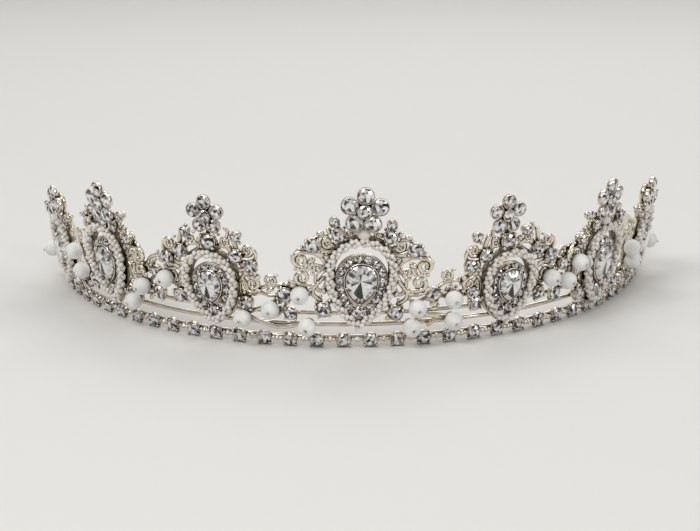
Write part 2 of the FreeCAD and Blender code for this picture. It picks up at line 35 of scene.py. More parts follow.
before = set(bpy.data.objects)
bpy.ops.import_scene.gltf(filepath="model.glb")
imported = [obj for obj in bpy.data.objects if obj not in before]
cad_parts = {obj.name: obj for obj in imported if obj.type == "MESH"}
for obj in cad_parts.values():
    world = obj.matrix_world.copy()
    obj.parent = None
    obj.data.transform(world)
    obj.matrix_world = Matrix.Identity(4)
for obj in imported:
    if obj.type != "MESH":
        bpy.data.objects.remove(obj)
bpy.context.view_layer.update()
dice = random.Random(7)
mm = 0.001
medallionNames = ["centre", "left_inner", "right_inner", "left_middle", "right_middle",
                  "left_outer", "right_outer"]
print("frame loaded:", len(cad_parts), "nodes")


# reading the solids
def solidsOf(node):  # the corners of each separate solid of a node, in metres
    bm = bmesh.new()
    bm.from_mesh(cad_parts[node].data)
    bmesh.ops.remove_doubles(bm, verts=bm.verts, dist=1e-7)
    seen = [False] * len(bm.verts)
    bm.verts.index_update()
    solids = []
    for start in bm.verts:
        if seen[start.index]:
            continue
        seen[start.index] = True
        stack, corners = [start], []
        while stack:
            corner = stack.pop()
            corners.append(corner.co[:])
            for edge in corner.link_edges:
                other = edge.other_vert(corner)
                if not seen[other.index]:
                    seen[other.index] = True
                    stack.append(other)
        solids.append(np.array(corners))
    bm.free()
    return solids


band = {"frontRadius": 75.7, "sideRadius": 90.9, "frontAngle": 38.7, "flare": 10.65,
        "wireRadius": 0.6, "lowerHeight": 2.4}
flare = math.radians(band["flare"])
frontFoot = Vector((0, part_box("lower_band_wire")[0].y, 0))
frontFoot.y += (band["wireRadius"] + band["lowerHeight"] * math.sin(flare)) * mm
bandCentre = frontFoot + Vector((0, band["frontRadius"] * mm, 0))


def bandPlace(arc):  # frame on the band at an arc length: x along the band, y up the slope, z outward
    turn = math.radians(band["frontAngle"])
    frontArc = band["frontRadius"] * turn
    angle = min(abs(arc), frontArc) / band["frontRadius"] + max(abs(arc) - frontArc, 0) / band["sideRadius"]
    angle = math.copysign(angle, arc)
    outward = Vector((math.sin(angle), -math.cos(angle), 0))
    origin = Vector(bandCentre)
    radius = band["frontRadius"]
    if abs(arc) > frontArc:
        join = math.copysign(turn, arc)
        radius = band["sideRadius"]
        origin += Vector((math.sin(join), -math.cos(join), 0)) * (band["frontRadius"] - radius) * mm
    origin += outward * radius * mm
    up = outward * math.sin(flare) + Vector((0, 0, math.cos(flare)))
    return axesFrom(outward * math.cos(flare) - Vector((0, 0, math.sin(flare))), up, origin)


def outwardAxis(points, largest=False):  # thin (or long) direction of a solid, pointing off the head
    spread = np.cov((points - points.mean(0)).T)
    values, vectors = np.linalg.eigh(spread)
    axis = Vector(vectors[:, 2 if largest else 0])
    reference = Vector((0, 0, 1)) if largest else Vector(points.mean(0)) - bandCentre
    if not largest:
        reference.z = 0
    return axis if axis.dot(reference) > 0 else -axis


def axesFrom(outward, up, origin):  # piece frame: x along the band, y up, z off the head
    side = up.cross(outward).normalized()
    up = outward.cross(side)
    matrix = Matrix((side, up, outward)).transposed().to_4x4()
    matrix.translation = origin
    return matrix


def stonePlace(points, pavilionShare):  # frame of a turned stone, with its origin in the girdle plane
    outward = outwardAxis(points)
    heights = points @ np.array(outward)
    middle = points.mean(0)
    offsets = points - middle - np.outer(heights - middle @ np.array(outward), np.array(outward))
    radius = float(np.linalg.norm(offsets, axis=1).max())
    girdle = heights.min() + pavilionShare * radius
    origin = Vector(middle) + outward * (girdle - float(middle @ np.array(outward)))
    return axesFrom(outward, Vector((0, 0, 1)), origin), radius


# mesh helpers
def meshObject(name, bm, smooth=True):
    bmesh.ops.remove_doubles(bm, verts=bm.verts, dist=1e-9)
    bmesh.ops.recalc_face_normals(bm, faces=bm.faces)
    mesh = bpy.data.meshes.new(name)
    for face in bm.faces:
        face.smooth = smooth
    bm.to_mesh(mesh)
    bm.free()
    thing = bpy.data.objects.new(name, mesh)
    bpy.context.scene.collection.objects.link(thing)
    return thing


def skinRings(bm, rings, closed=False, startTip=None, endTip=None):  # faces between rings of corners
    made = [[bm.verts.new(p) for p in ring] for ring in rings]
    pairs = list(zip(made, made[1:]))
    if closed:
        pairs.append((made[-1], made[0]))
    for first, second in pairs:
        count = len(first)
        for i in range(count):
            j = (i + 1) % count
            bm.faces.new((first[i], first[j], second[j], second[i]))
    for tip, ring in ((startTip, made[0]), (endTip, made[-1])):
        if tip is not None:
            point = bm.verts.new(tip)
            for i in range(len(ring)):
                bm.faces.new((ring[i], ring[(i + 1) % len(ring)], point))


def turnedRings(profile, sides):  # one ring of corners for each (radius, height)
    angles = [2 * math.pi * i / sides for i in range(sides)]
    return [[Vector((radius * math.cos(a), radius * math.sin(a), height)) for a in angles]
            for radius, height in profile]


def lathe(bm, profile, sides, matrix=Matrix.Identity(4)):  # profile of (radius, height) from axis to axis
    rings = [[matrix @ corner for corner in ring] for ring in turnedRings(profile[1:-1], sides)]
    start = matrix @ Vector((0, 0, profile[0][1]))
    end = matrix @ Vector((0, 0, profile[-1][1]))
    skinRings(bm, rings, False, start, end)


def smoothPath(points, steps, closed=False):  # Catmull-Rom curve through given points
    points = [Vector(p) for p in points]
    count = len(points)
    path = []
    last = count if closed else count - 1
    for i in range(last):
        if closed:
            a, b, c, d = (points[(i + k) % count] for k in (-1, 0, 1, 2))
        else:
            a, b = points[max(i - 1, 0)], points[i]
            c, d = points[i + 1], points[min(i + 2, count - 1)]
        for step in range(steps):
            t = step / steps
            path.append(0.5 * (2 * b + (c - a) * t + (2 * a - 5 * b + 4 * c - d) * t * t
                               + (3 * b - a - 3 * c + d) * t ** 3))
    if not closed:
        path.append(points[-1])
    return path


def tube(bm, path, startRadius, endRadius=None, sides=8, closed=False):  # round bar along a path
    endRadius = startRadius if endRadius is None else endRadius
    count = len(path)
    rings, normal = [], None
    for i, point in enumerate(path):
        if closed:
            tangent = path[(i + 1) % count] - path[i - 1]
        else:
            tangent = path[min(i + 1, count - 1)] - path[max(i - 1, 0)]
        tangent.normalize()
        if normal is None:
            normal = tangent.orthogonal().normalized()
            if abs(tangent.z) < 0.9:
                normal = Vector((0, 0, 1)) - tangent * tangent.z
        normal = (normal - tangent * normal.dot(tangent)).normalized()
        other = tangent.cross(normal)
        radius = startRadius + (endRadius - startRadius) * i / max(count - 1, 1)
        ring = []
        for k in range(sides):
            angle = 2 * math.pi * k / sides
            ring.append(point + radius * (math.cos(angle) * normal + math.sin(angle) * other))
        rings.append(ring)
    if closed:
        skinRings(bm, rings, True)
    else:
        lead = (path[0] - path[1]).normalized() * startRadius * 0.6
        tail = (path[-1] - path[-2]).normalized() * endRadius * 0.6
        skinRings(bm, rings, False, path[0] + lead, path[-1] + tail)


def ball(bm, centre, radius, stretch=(1, 1, 1), turn=0.0, detail=2):
    matrix = Matrix.Translation(centre) @ Matrix.Rotation(turn, 4, "Z") @ Matrix.Diagonal((*stretch, 1))
    bmesh.ops.create_icosphere(bm, subdivisions=detail, radius=radius, matrix=matrix)


def spiral(centre, radius, startAngle, turns, height, shrink=0.68):  # curl that winds inwards
    points = []
    steps = max(int(abs(turns) * 14), 3)
    for i in range(steps + 1):
        t = i / steps
        angle = math.radians(startAngle) + 2 * math.pi * turns * t
        reach = radius * (1 - shrink * t)
        points.append(Vector((centre[0] + reach * math.cos(angle),
                              centre[1] + reach * math.sin(angle), height)))
    return points


class PearLine:  # pear outline: a half circle on top and two side arcs that meet in a tip
    def __init__(self, width, height, lift=0.0, grow=0.0):
        half = width / 2
        drop = height - half
        self.side = (half ** 2 + drop ** 2) / (2 * half) + grow
        self.half = half + grow
        self.inset = self.side - self.half
        self.top = lift + height / 2 - half
        self.sweep = math.acos(self.inset / self.side)

    def length(self):
        return math.pi * self.half + 2 * self.side * self.sweep

    def at(self, run, height=0.0):
        flank = self.side * self.sweep
        crown = math.pi * self.half
        run = run % self.length()
        if run <= flank:
            angle, centre, radius = run / self.side - self.sweep, -self.inset, self.side
        elif run <= flank + crown:
            angle, centre, radius = (run - flank) / self.half, 0.0, self.half
        else:
            angle, centre, radius = math.pi + (run - flank - crown) / self.side, self.inset, self.side
        return Vector((centre + radius * math.cos(angle), self.top + radius * math.sin(angle), height))

    def ring(self, count, height=0.0, start=0.0):
        return [self.at((i + start) * self.length() / count, height) for i in range(count)]


# materials
def hexColour(code):
    parts = [int(code[i:i + 2], 16) / 255 for i in (1, 3, 5)]
    return tuple(p / 12.92 if p <= 0.04045 else ((p + 0.055) / 1.055) ** 2.4 for p in parts) + (1.0,)


def addNode(tree, kind, settings=None, inputs=None):
    node = tree.nodes.new(kind)
    for key, value in (settings or {}).items():
        setattr(node, key, value)
    for socket, value in (inputs or {}).items():
        if isinstance(value, bpy.types.NodeSocket):
            tree.links.new(value, node.inputs[socket])
        else:
            node.inputs[socket].default_value = value
    return node


def newMaterial(name):
    material = bpy.data.materials.new(name)
    material.use_nodes = True
    tree = material.node_tree
    return material, tree, tree.nodes["Principled BSDF"]


def multiplied(tree, first, second):  # one colour tinted by another
    mixed = addNode(tree, "ShaderNodeMix", {"data_type": "RGBA", "blend_type": "MULTIPLY"}, {"Factor": 1.0})
    tree.links.new(first, mixed.inputs["A"])
    tree.links.new(second, mixed.inputs["B"])
    return mixed.outputs["Result"]


def grainOn(tree, place, size, detail=2.0):  # noise with grains of this size, in millimetres
    values = {"Vector": place, "Scale": 1 / (size * mm), "Detail": detail}
    return addNode(tree, "ShaderNodeTexNoise", None, values).outputs["Fac"]


def ramp(tree, value, stops, mode="LINEAR"):
    node = addNode(tree, "ShaderNodeValToRGB", None, {"Fac": value})
    node.color_ramp.interpolation = mode
    elements = node.color_ramp.elements
    while len(elements) < len(stops):
        elements.new(0.5)
    for element, (place, code) in zip(elements, stops):
        element.position = place
        element.color = hexColour(code)
    return node.outputs["Color"]


def hollows(tree, reach):  # light that gets between the pieces, 1 in the open
    node = addNode(tree, "ShaderNodeAmbientOcclusion", {"samples": 6}, {"Distance": reach * mm})
    return node.outputs["AO"]


def spread(tree, value, source, target):  # one range laid over another
    values = {"Value": value, "From Min": source[0], "From Max": source[1],
              "To Min": target[0], "To Max": target[1]}
    return addNode(tree, "ShaderNodeMapRange", None, values).outputs["Result"]


def relief(tree, height, strength, depth, shader):
    values = {"Height": height, "Strength": strength, "Distance": depth * mm}
    bump = addNode(tree, "ShaderNodeBump", None, values)
    tree.links.new(bump.outputs["Normal"], shader.inputs["Normal"])


def silverMetal(name, look):
    # silver-plated casting or wire: bright metal, with painted shade that darkens it in the crevices between
    # the scrolls, where little light gets in
    material, tree, shader = newMaterial(name)
    place = addNode(tree, "ShaderNodeTexCoord").outputs["Object"]
    # painted shade: the base colour follows ambient occlusion, dark in crevices and between pieces, bright
    # metal in the open
    paintedCreviceShade = ramp(tree, hollows(tree, look["reach"]), look["paintedCreviceShade"])
    cloud = grainOn(tree, place, look["patch"], 3.0)
    tree.links.new(multiplied(tree, paintedCreviceShade, ramp(tree, cloud, look["tint"])), shader.inputs["Base Color"])
    tree.links.new(spread(tree, cloud, (0.3, 0.7), look["polish"]), shader.inputs["Roughness"])
    relief(tree, grainOn(tree, place, look["grain"]), look["relief"], 0.05, shader)
    shader.inputs["Metallic"].default_value = 1.0
    return material


# each look's shade ramp is painted crevice shade, from near black in the hollows to bright metal in the open
castLook = {"reach": 2.0, "patch": 1.6, "grain": 0.22, "relief": 0.25, "polish": (0.1, 0.22),
            "paintedCreviceShade": [(0.0, "#1C1813"), (0.35, "#665C4E"), (0.62, "#B9AE9D"), (0.9, "#F2ECE2")],
            "tint": [(0.3, "#F3E6D2"), (0.55, "#FFFFFF")]}
wireLook = {"reach": 0.8, "patch": 3.0, "grain": 0.15, "relief": 0.1, "polish": (0.1, 0.2),
            "paintedCreviceShade": [(0.0, "#35312B"), (0.45, "#98907F"), (0.9, "#E4DFD6")],
            "tint": [(0.3, "#F2E4CF"), (0.6, "#FFFFFF")]}
plateLook = {"reach": 1.0, "patch": 4.0, "grain": 0.3, "relief": 0.3, "polish": (0.34, 0.42),
             "paintedCreviceShade": [(0.0, "#6A6358"), (0.5, "#CFC9BF"), (0.9, "#ECE8E1")],
             "tint": [(0.3, "#FAF5EC"), (0.6, "#FFFFFF")]}
silverCast = silverMetal("silver_plated_casting_polished", castLook)
silverPlate = silverMetal("silver_plated_strip_tumbled", plateLook)
silverWire = silverMetal("silver_plated_wire_drawn", wireLook)


def cutCrystal(name, look):
    # machine-cut foil-backed lead glass: each facet carries a painted reflection, a tone from dark to white
    # or a rare coloured glint, for what it would mirror
    material, tree, shader = newMaterial(name)
    facet = addNode(tree, "ShaderNodeAttribute", {"attribute_name": "facetTone"})
    tone = ramp(tree, facet.outputs["Fac"], look["paintedReflectionTones"], "CONSTANT")
    place = addNode(tree, "ShaderNodeTexCoord").outputs["Object"]
    shade = spread(tree, grainOn(tree, place, look["patch"], 1.0), (0.35, 0.65), look["shade"])
    tree.links.new(multiplied(tree, tone, shade), shader.inputs["Base Color"])
    finishShader(shader, look)
    return material


def pearlNacre(name, look):
    # glass seed pearl dipped in pearl essence: cream, faintly pink or green, with a soft even sheen
    material, tree, shader = newMaterial(name)
    piece = addNode(tree, "ShaderNodeAttribute", {"attribute_name": "pieceTone"})
    place = addNode(tree, "ShaderNodeTexCoord").outputs["Object"]
    body = ramp(tree, piece.outputs["Fac"], look["body"])
    lustre = ramp(tree, grainOn(tree, place, look["patch"]), look["lustre"])
    shadow = ramp(tree, hollows(tree, look["reach"]), look["shadow"])
    tinted = multiplied(tree, multiplied(tree, body, lustre), shadow)
    tree.links.new(tinted, shader.inputs["Base Color"])
    finishShader(shader, look)
    return material


def frostedOpal(name, look):
    # pressed opal glass, acid-frosted: milky white-grey, glows softly through, almost no highlight
    material, tree, shader = newMaterial(name)
    place = addNode(tree, "ShaderNodeTexCoord").outputs["Object"]
    milk = ramp(tree, grainOn(tree, place, look["patch"], 3.0), look["milk"])
    tree.links.new(milk, shader.inputs["Base Color"])
    relief(tree, grainOn(tree, place, look["grain"]), look["relief"], 0.04, shader)
    finishShader(shader, look)
    return material


def finishShader(shader, look):
    for socket, value in look["finish"].items():
        shader.inputs[socket].default_value = value


# the stops are painted reflections: dark, grey and white facets, then rare orange, blue and violet glints
crystalLook = {"patch": 0.7, "shade": (0.72, 1.0),
               "paintedReflectionTones": [(0.0, "#0B0B0D"), (0.09, "#2A292B"), (0.17, "#5A5857"), (0.25, "#918F8D"),
                         (0.34, "#C8C6C3"), (0.46, "#F0EEEB"), (0.60, "#FFFFFF"), (0.945, "#C58452"),
                         (0.965, "#8AA2CF"), (0.98, "#EDE2F0")],
               "finish": {"Metallic": 0.45, "Roughness": 0.05, "IOR": 1.56, "Coat Weight": 1.0,
                          "Coat Roughness": 0.02}}
pearlLook = {"patch": 0.9, "reach": 0.8, "body": [(0.0, "#E3DCD3"), (0.5, "#F0ECE6"), (1.0, "#E8E4DE")],
             "lustre": [(0.35, "#FCF4F0"), (0.5, "#FFFFFF"), (0.65, "#F3F7F4")],
             "shadow": [(0.0, "#A39686"), (0.55, "#FFFFFF")],
             "finish": {"Roughness": 0.2, "IOR": 1.66, "Coat Weight": 1.0, "Coat Roughness": 0.05,
                        "Sheen Weight": 0.25}}
opalLook = {"patch": 2.4, "grain": 0.18, "relief": 0.35,
            "milk": [(0.3, "#DFE0DD"), (0.5, "#EBEBE8"), (0.7, "#F5F4F1")],
            "finish": {"Roughness": 0.55, "IOR": 1.5, "Subsurface Weight": 0.5, "Subsurface Scale": 1.0,
                       "Subsurface Radius": (1.2 * mm, 1.2 * mm, 1.2 * mm)}}
crystal = (cutCrystal("lead_glass_cut_foiled", crystalLook), "crystal")  # a finish is (material, slot)
pearl = (pearlNacre("glass_pearl_nacre_dipped", pearlLook), "pearl")
opal = (frostedOpal("opal_glass_acid_frosted", opalLook), "opal")
cast = (silverCast, "silver_plate")
print("materials made")


# placing repeated pieces with Geometry Nodes
def placingTree():
    tree = bpy.data.node_groups.new("setPiecesOnPlaces", "GeometryNodeTree")
    face = tree.interface
    face.new_socket("Geometry", in_out="INPUT", socket_type="NodeSocketGeometry")
    face.new_socket("Template", in_out="INPUT", socket_type="NodeSocketObject")
    face.new_socket("Scale", in_out="INPUT", socket_type="NodeSocketFloat")
    face.new_socket("Seed", in_out="INPUT", socket_type="NodeSocketInt")
    face.new_socket("Sparkle", in_out="INPUT", socket_type="NodeSocketFloat")
    face.new_socket("Finish", in_out="INPUT", socket_type="NodeSocketMaterial")
    face.new_socket("Geometry", in_out="OUTPUT", socket_type="NodeSocketGeometry")
    start = addNode(tree, "NodeGroupInput")
    turn = addNode(tree, "GeometryNodeInputNamedAttribute", {"data_type": "FLOAT_VECTOR"}, {"Name": "turn"})
    rotation = addNode(tree, "FunctionNodeEulerToRotation", None, {0: turn.outputs["Attribute"]})
    size = addNode(tree, "GeometryNodeInputNamedAttribute", {"data_type": "FLOAT"}, {"Name": "size"})
    scaled = addNode(tree, "ShaderNodeMath", {"operation": "MULTIPLY"},
                     {0: size.outputs["Attribute"], 1: start.outputs["Scale"]})
    template = addNode(tree, "GeometryNodeObjectInfo", None, {"Object": start.outputs["Template"]})
    placed = addNode(tree, "GeometryNodeInstanceOnPoints", None,
                     {"Points": start.outputs["Geometry"], "Instance": template.outputs["Geometry"],
                      "Rotation": rotation.outputs[0], "Scale": scaled.outputs[0]})
    chance = addNode(tree, "FunctionNodeRandomValue", {"data_type": "FLOAT"}, {"Seed": start.outputs["Seed"]})
    perPiece = addNode(tree, "GeometryNodeStoreNamedAttribute", {"data_type": "FLOAT", "domain": "INSTANCE"},
                       {"Geometry": placed.outputs["Instances"], "Name": "pieceTone",
                        "Value": chance.outputs[1]})
    real = addNode(tree, "GeometryNodeRealizeInstances", None, {"Geometry": perPiece.outputs["Geometry"]})
    sector = addNode(tree, "GeometryNodeInputNamedAttribute", {"data_type": "FLOAT"}, {"Name": "sector"})
    ownTone = addNode(tree, "GeometryNodeInputNamedAttribute", {"data_type": "FLOAT"}, {"Name": "pieceTone"})
    stirred = addNode(tree, "ShaderNodeMath", {"operation": "MULTIPLY_ADD"},
                      {0: ownTone.outputs["Attribute"], 1: 9.7, 2: sector.outputs["Attribute"]})
    spread = addNode(tree, "ShaderNodeMath", {"operation": "MULTIPLY_ADD"},
                     {0: chance.outputs[1], 1: start.outputs["Sparkle"], 2: stirred.outputs[0]})
    wrapped = addNode(tree, "ShaderNodeMath", {"operation": "FRACT"}, {0: spread.outputs[0]})
    # each face's painted reflection value, from its sector, its stone's tone and a random spread
    perFace = addNode(tree, "GeometryNodeStoreNamedAttribute", {"data_type": "FLOAT", "domain": "FACE"},
                      {"Geometry": real.outputs["Geometry"], "Name": "facetTone",
                       "Value": wrapped.outputs[0]})
    finish = addNode(tree, "GeometryNodeSetMaterial", None,
                     {"Geometry": perFace.outputs["Geometry"], "Material": start.outputs["Finish"]})
    addNode(tree, "NodeGroupOutput", None, {"Geometry": finish.outputs["Geometry"]})
    return tree


placing = placingTree()


def setOnPlaces(name, template, places, finish, seed, node):  # places are (matrix, size)
    mesh = bpy.data.meshes.new(name)
    mesh.from_pydata([matrix.translation for matrix, size in places], [], [])
    mesh.attributes.new("turn", "FLOAT_VECTOR", "POINT")
    mesh.attributes.new("size", "FLOAT", "POINT")
    for i, (matrix, size) in enumerate(places):
        mesh.attributes["turn"].data[i].vector = matrix.to_euler()
        mesh.attributes["size"].data[i].value = size
    carrier = bpy.data.objects.new(name + "_places", mesh)
    bpy.context.scene.collection.objects.link(carrier)
    modifier = carrier.modifiers.new("place", "NODES")
    modifier.node_group = placing
    values = {"Template": template, "Scale": 1.0, "Seed": seed, "Sparkle": stoneCut["sparkle"],
              "Finish": finish[0]}
    for item in placing.interface.items_tree:
        if item.in_out == "INPUT" and item.name in values:
            modifier[item.identifier] = values[item.name]
    graph = bpy.context.evaluated_depsgraph_get()
    result = bpy.data.meshes.new_from_object(carrier.evaluated_get(graph))
    bpy.data.objects.remove(carrier)
    thing = bpy.data.objects.new(name, result)
    bpy.context.scene.collection.objects.link(thing)
    finishPiece(thing, finish, node)


def finishPiece(thing, finish, node):  # every piece stands still and takes the place of its node
    material, slot = finish
    if not thing.data.materials:
        thing.data.materials.append(material)
    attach(thing, "root")
    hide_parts(node)


# templates, one unit in radius, origin in the girdle plane
stoneCut = {"sides": 8, "table": 0.58, "break": 0.80, "girdle": 0.09, "crown": 0.405, "pavilion": 0.45,
            "sparkle": 0.34}


def roundStoneTemplate():  # brilliant with a fanned table
    sides, cut = stoneCut["sides"], stoneCut
    bm = bmesh.new()
    step = 2 * math.pi / sides

    def corner(radius, angle, height):
        return bm.verts.new((radius * math.cos(angle), radius * math.sin(angle), height))

    slope = (1 - cut["break"] * math.cos(step / 2)) / (1 - cut["table"])
    breakHeight = cut["girdle"] + slope * (cut["crown"] - cut["girdle"])
    table = [corner(cut["table"], i * step, cut["crown"]) for i in range(sides)]
    breaks = [corner(cut["break"], (i + 0.5) * step, breakHeight) for i in range(sides)]
    upper = [corner(1.0, i * step / 2, cut["girdle"]) for i in range(2 * sides)]
    lower = [corner(1.0, i * step / 2, 0.0) for i in range(2 * sides)]
    middle = bm.verts.new((0, 0, cut["crown"]))
    culet = bm.verts.new((0, 0, -cut["pavilion"]))
    sector = bm.faces.layers.float.new("sector")
    order = [0.0, 0.62, 0.31, 0.85, 0.12, 0.5, 0.74, 0.4]  # painted reflection tones of the sectors, round the table
    for i in range(sides):
        j = (i + 1) % sides
        bm.faces.new((middle, table[i], table[j]))[sector] = order[i // 2]
        bm.faces.new((table[i], breaks[i], table[j]))[sector] = order[i]
        bm.faces.new((table[i], breaks[i - 1], upper[2 * i], breaks[i]))[sector] = order[i]
        bm.faces.new((breaks[i], upper[2 * i], upper[2 * i + 1]))[sector] = order[j]
        bm.faces.new((breaks[i], upper[2 * i + 1], upper[(2 * i + 2) % (2 * sides)]))[sector] = order[j]
    for i in range(2 * sides):
        j = (i + 1) % (2 * sides)
        bm.faces.new((upper[i], lower[i], lower[j], upper[j]))
        bm.faces.new((lower[i], culet, lower[j]))
    return meshObject("round_stone_template", bm, False)


clawCup = {"sides": 16, "prongs": 4, "prong": 0.18, "ballRadius": 0.25}


def clawCupTemplate():  # stepped collet with four prongs that end in balls
    bm = bmesh.new()
    profile = [(0, -0.585), (1.0, -0.585), (1.12, -0.47), (1.05, -0.34), (1.14, -0.16), (1.16, -0.02),
               (1.05, 0.01), (0.97, -0.3), (0, -0.5)]
    lathe(bm, profile, clawCup["sides"])
    for i in range(clawCup["prongs"]):
        angle = math.radians(45 + 90 * i)
        away = Vector((math.cos(angle), math.sin(angle), 0))
        points = [away * 1.04 + Vector((0, 0, -0.5)), away * 1.22 + Vector((0, 0, -0.15)),
                  away * 1.23 + Vector((0, 0, 0.1)), away * 1.1 + Vector((0, 0, 0.18))]
        tube(bm, smoothPath(points, 2), clawCup["prong"], clawCup["prong"], 6)
        ball(bm, away * 1.17 + Vector((0, 0, 0.14)), clawCup["ballRadius"], detail=1)
    return meshObject("claw_cup_template", bm)


def petalCupTemplate():  # plain rubbed-over bezel
    bm = bmesh.new()
    profile = [(0, -0.56), (0.92, -0.56), (1.07, -0.45), (1.12, -0.1), (1.14, 0.05), (1.1, 0.13),
               (1.02, 0.1), (0.99, -0.2), (0, -0.48)]
    lathe(bm, profile, 20)
    return meshObject("petal_cup_template", bm)


def pearlTemplate():
    bm = bmesh.new()
    ball(bm, Vector(), 1.0)
    return meshObject("pearl_template", bm)


def linkTemplate():  # turned link between two foot cups, along x, half length one unit
    bm = bmesh.new()
    profile = [(0, -1.0), (0.26, -1.0), (0.27, -0.55), (0.2, -0.42), (0.34, -0.28), (0.43, 0.0),
               (0.34, 0.28), (0.2, 0.42), (0.27, 0.55), (0.26, 1.0), (0, 1.0)]
    lathe(bm, profile, 12, Matrix.Rotation(math.radians(90), 4, "Y"))
    return meshObject("foot_link_template", bm)


opalCut = {"hole": 0.15, "lip": 0.2, "sides": 28}


def opalTemplate():  # bead with a drilled hole along z
    bm = bmesh.new()
    hole, lip = opalCut["hole"], opalCut["lip"]
    angles = [math.asin(lip) + (math.pi - 2 * math.asin(lip)) * i / 20 for i in range(21)]
    profile = [(math.sin(a), math.cos(a)) for a in angles]
    profile += [(hole, -0.95), (hole, -0.3), (hole, 0.3), (hole, 0.95)]
    skinRings(bm, turnedRings(profile, opalCut["sides"]), True)
    return meshObject("opal_template", bm)


stoneTemplate = roundStoneTemplate()
cupTemplate = clawCupTemplate()
petalTemplate = petalCupTemplate()
seedTemplate = pearlTemplate()
footLinkTemplate = linkTemplate()
beadTemplate = opalTemplate()
print("templates made")


# foot row
footPlaces = [stonePlace(points, stoneCut["pavilion"]) for points in solidsOf("base_crystals")]
footPlaces.sort(key=lambda place: math.atan2(place[0].translation.x, bandCentre.y - place[0].translation.y))


def spun(place, angle):  # turned about its own axis
    matrix, size = place
    return matrix @ Matrix.Rotation(math.radians(angle), 4, "Z"), size


def spunAll(places, low, high):
    return [spun(place, dice.uniform(low, high)) for place in places]


setOnPlaces("foot_row_crystals", stoneTemplate, spunAll(footPlaces, 0, 45), crystal, 11, "base_crystals")
setOnPlaces("foot_row_cups", cupTemplate, spunAll(footPlaces, -3, 3), cast, 12, "base_claw_cups")
linkPlaces = []
for (first, size), (second, _) in zip(footPlaces, footPlaces[1:]):
    start, end = first.translation, second.translation
    outward = (first.col[2].xyz + second.col[2].xyz).normalized()
    centre = (start + end) / 2 - outward * 0.35 * mm
    matrix = axesFrom(outward, Vector((0, 0, 1)), centre)
    linkPlaces.append((matrix, (end - start).length / 2 - size * 1.05))
setOnPlaces("foot_row_links", footLinkTemplate, linkPlaces, cast, 13, "base_claw_cups")
print("foot row:", len(footPlaces), "stones")


# medallions
# strokes of the scrollwork on the right-hand side, in millimetres from the ring's middle:
# a strand is ("strand", points, start radius, end radius); a curl adds a spiral at a strand's end
largeScrolls = [
    ("curl", [(8.2, 3.6), (10.6, 6.6), (13.4, 7.4)], (15.4, 5.2), 2.1, 105, -1.35, 0.55, 0.36),
    ("curl", [(8.6, 1.9), (10.9, -1.3), (12.6, -1.8)], (14.5, 0.4), 2.0, -110, 1.3, 0.55, 0.34),
    ("curl", [(5.4, 9.6), (7.0, 9.0)], (9.1, 10.4), 1.5, 200, 1.2, 0.5, 0.34),
    ("curl", [(9.4, 3.4), (10.8, 3.9)], (12.1, 3.2), 1.0, 100, -0.9, 0.42, 0.3),
    ("strand", [(7.4, 7.8), (9.6, 8.0), (12.6, 9.7)], 0.62, 0.5),
    ("strand", [(4.9, 10.2), (5.6, 11.6), (6.3, 13.0), (7.0, 16.2)], 0.62, 0.5),
    ("strand", [(9.0, 11.9), (11.0, 11.9), (12.6, 11.0)], 0.46, 0.4),
    ("strand", [(13.9, 8.6), (15.6, 8.2), (16.6, 7.0)], 0.42, 0.34),
    ("strand", [(7.0, -5.6), (8.9, -7.3)], 0.6, 0.5),
    ("strand", [(9.5, -5.8), (11.5, -4.2), (11.6, -2.2), (10.4, -0.6)], 0.52, 0.42),
    ("strand", [(8.0, 5.6), (9.2, 4.0), (11.0, 1.8), (12.4, 1.6)], 0.46, 0.36),
    ("strand", [(13.2, 4.6), (13.2, 2.8), (14.4, 2.4)], 0.42, 0.36),
    ("oval", (9.9, 0.2), 1.4, 3.3, 0.42),
    ("leaf", (10.7, 7.0), 1.35, 0.95, 25), ("leaf", (12.6, 5.2), 1.0, 0.72, -30),
    ("leaf", (8.6, 6.1), 1.3, 0.85, 60), ("leaf", (16.7, -0.9), 1.0, 0.72, 40),
    ("leaf", (12.6, -2.6), 1.1, 0.7, -15), ("leaf", (10.9, 12.6), 0.95, 0.66, -20),
    ("leaf", (3.9, 13.0), 1.0, 0.6, 150), ("leaf", (8.8, 13.4), 0.9, 0.6, 60),
    ("leaf", (11.9, 8.3), 0.95, 0.7, 10), ("leaf", (14.6, 2.9), 0.9, 0.62, -10),
    ("leaf", (9.0, -2.8), 0.95, 0.6, 75), ("leaf", (10.6, 2.9), 0.85, 0.6, 35),
    ("leaf", (7.6, -9.4), 0.95, 0.6, 40),
    ("strand", [(11.9, -1.9), (13.6, -2.9), (15.6, -2.4), (16.9, -1.0)], 0.44, 0.34),
    ("grain", (7.6, 11.6), 0.62), ("grain", (11.2, 9.4), 0.6), ("grain", (5.0, 14.6), 0.5),
    ("grain", (10.6, -6.2), 0.55), ("grain", (12.4, -4.0), 0.55), ("grain", (16.4, 2.8), 0.6),
    ("grain", (9.7, -4.4), 0.5), ("grain", (17.4, 6.4), 0.55), ("grain", (15.2, 8.9), 0.5),
]
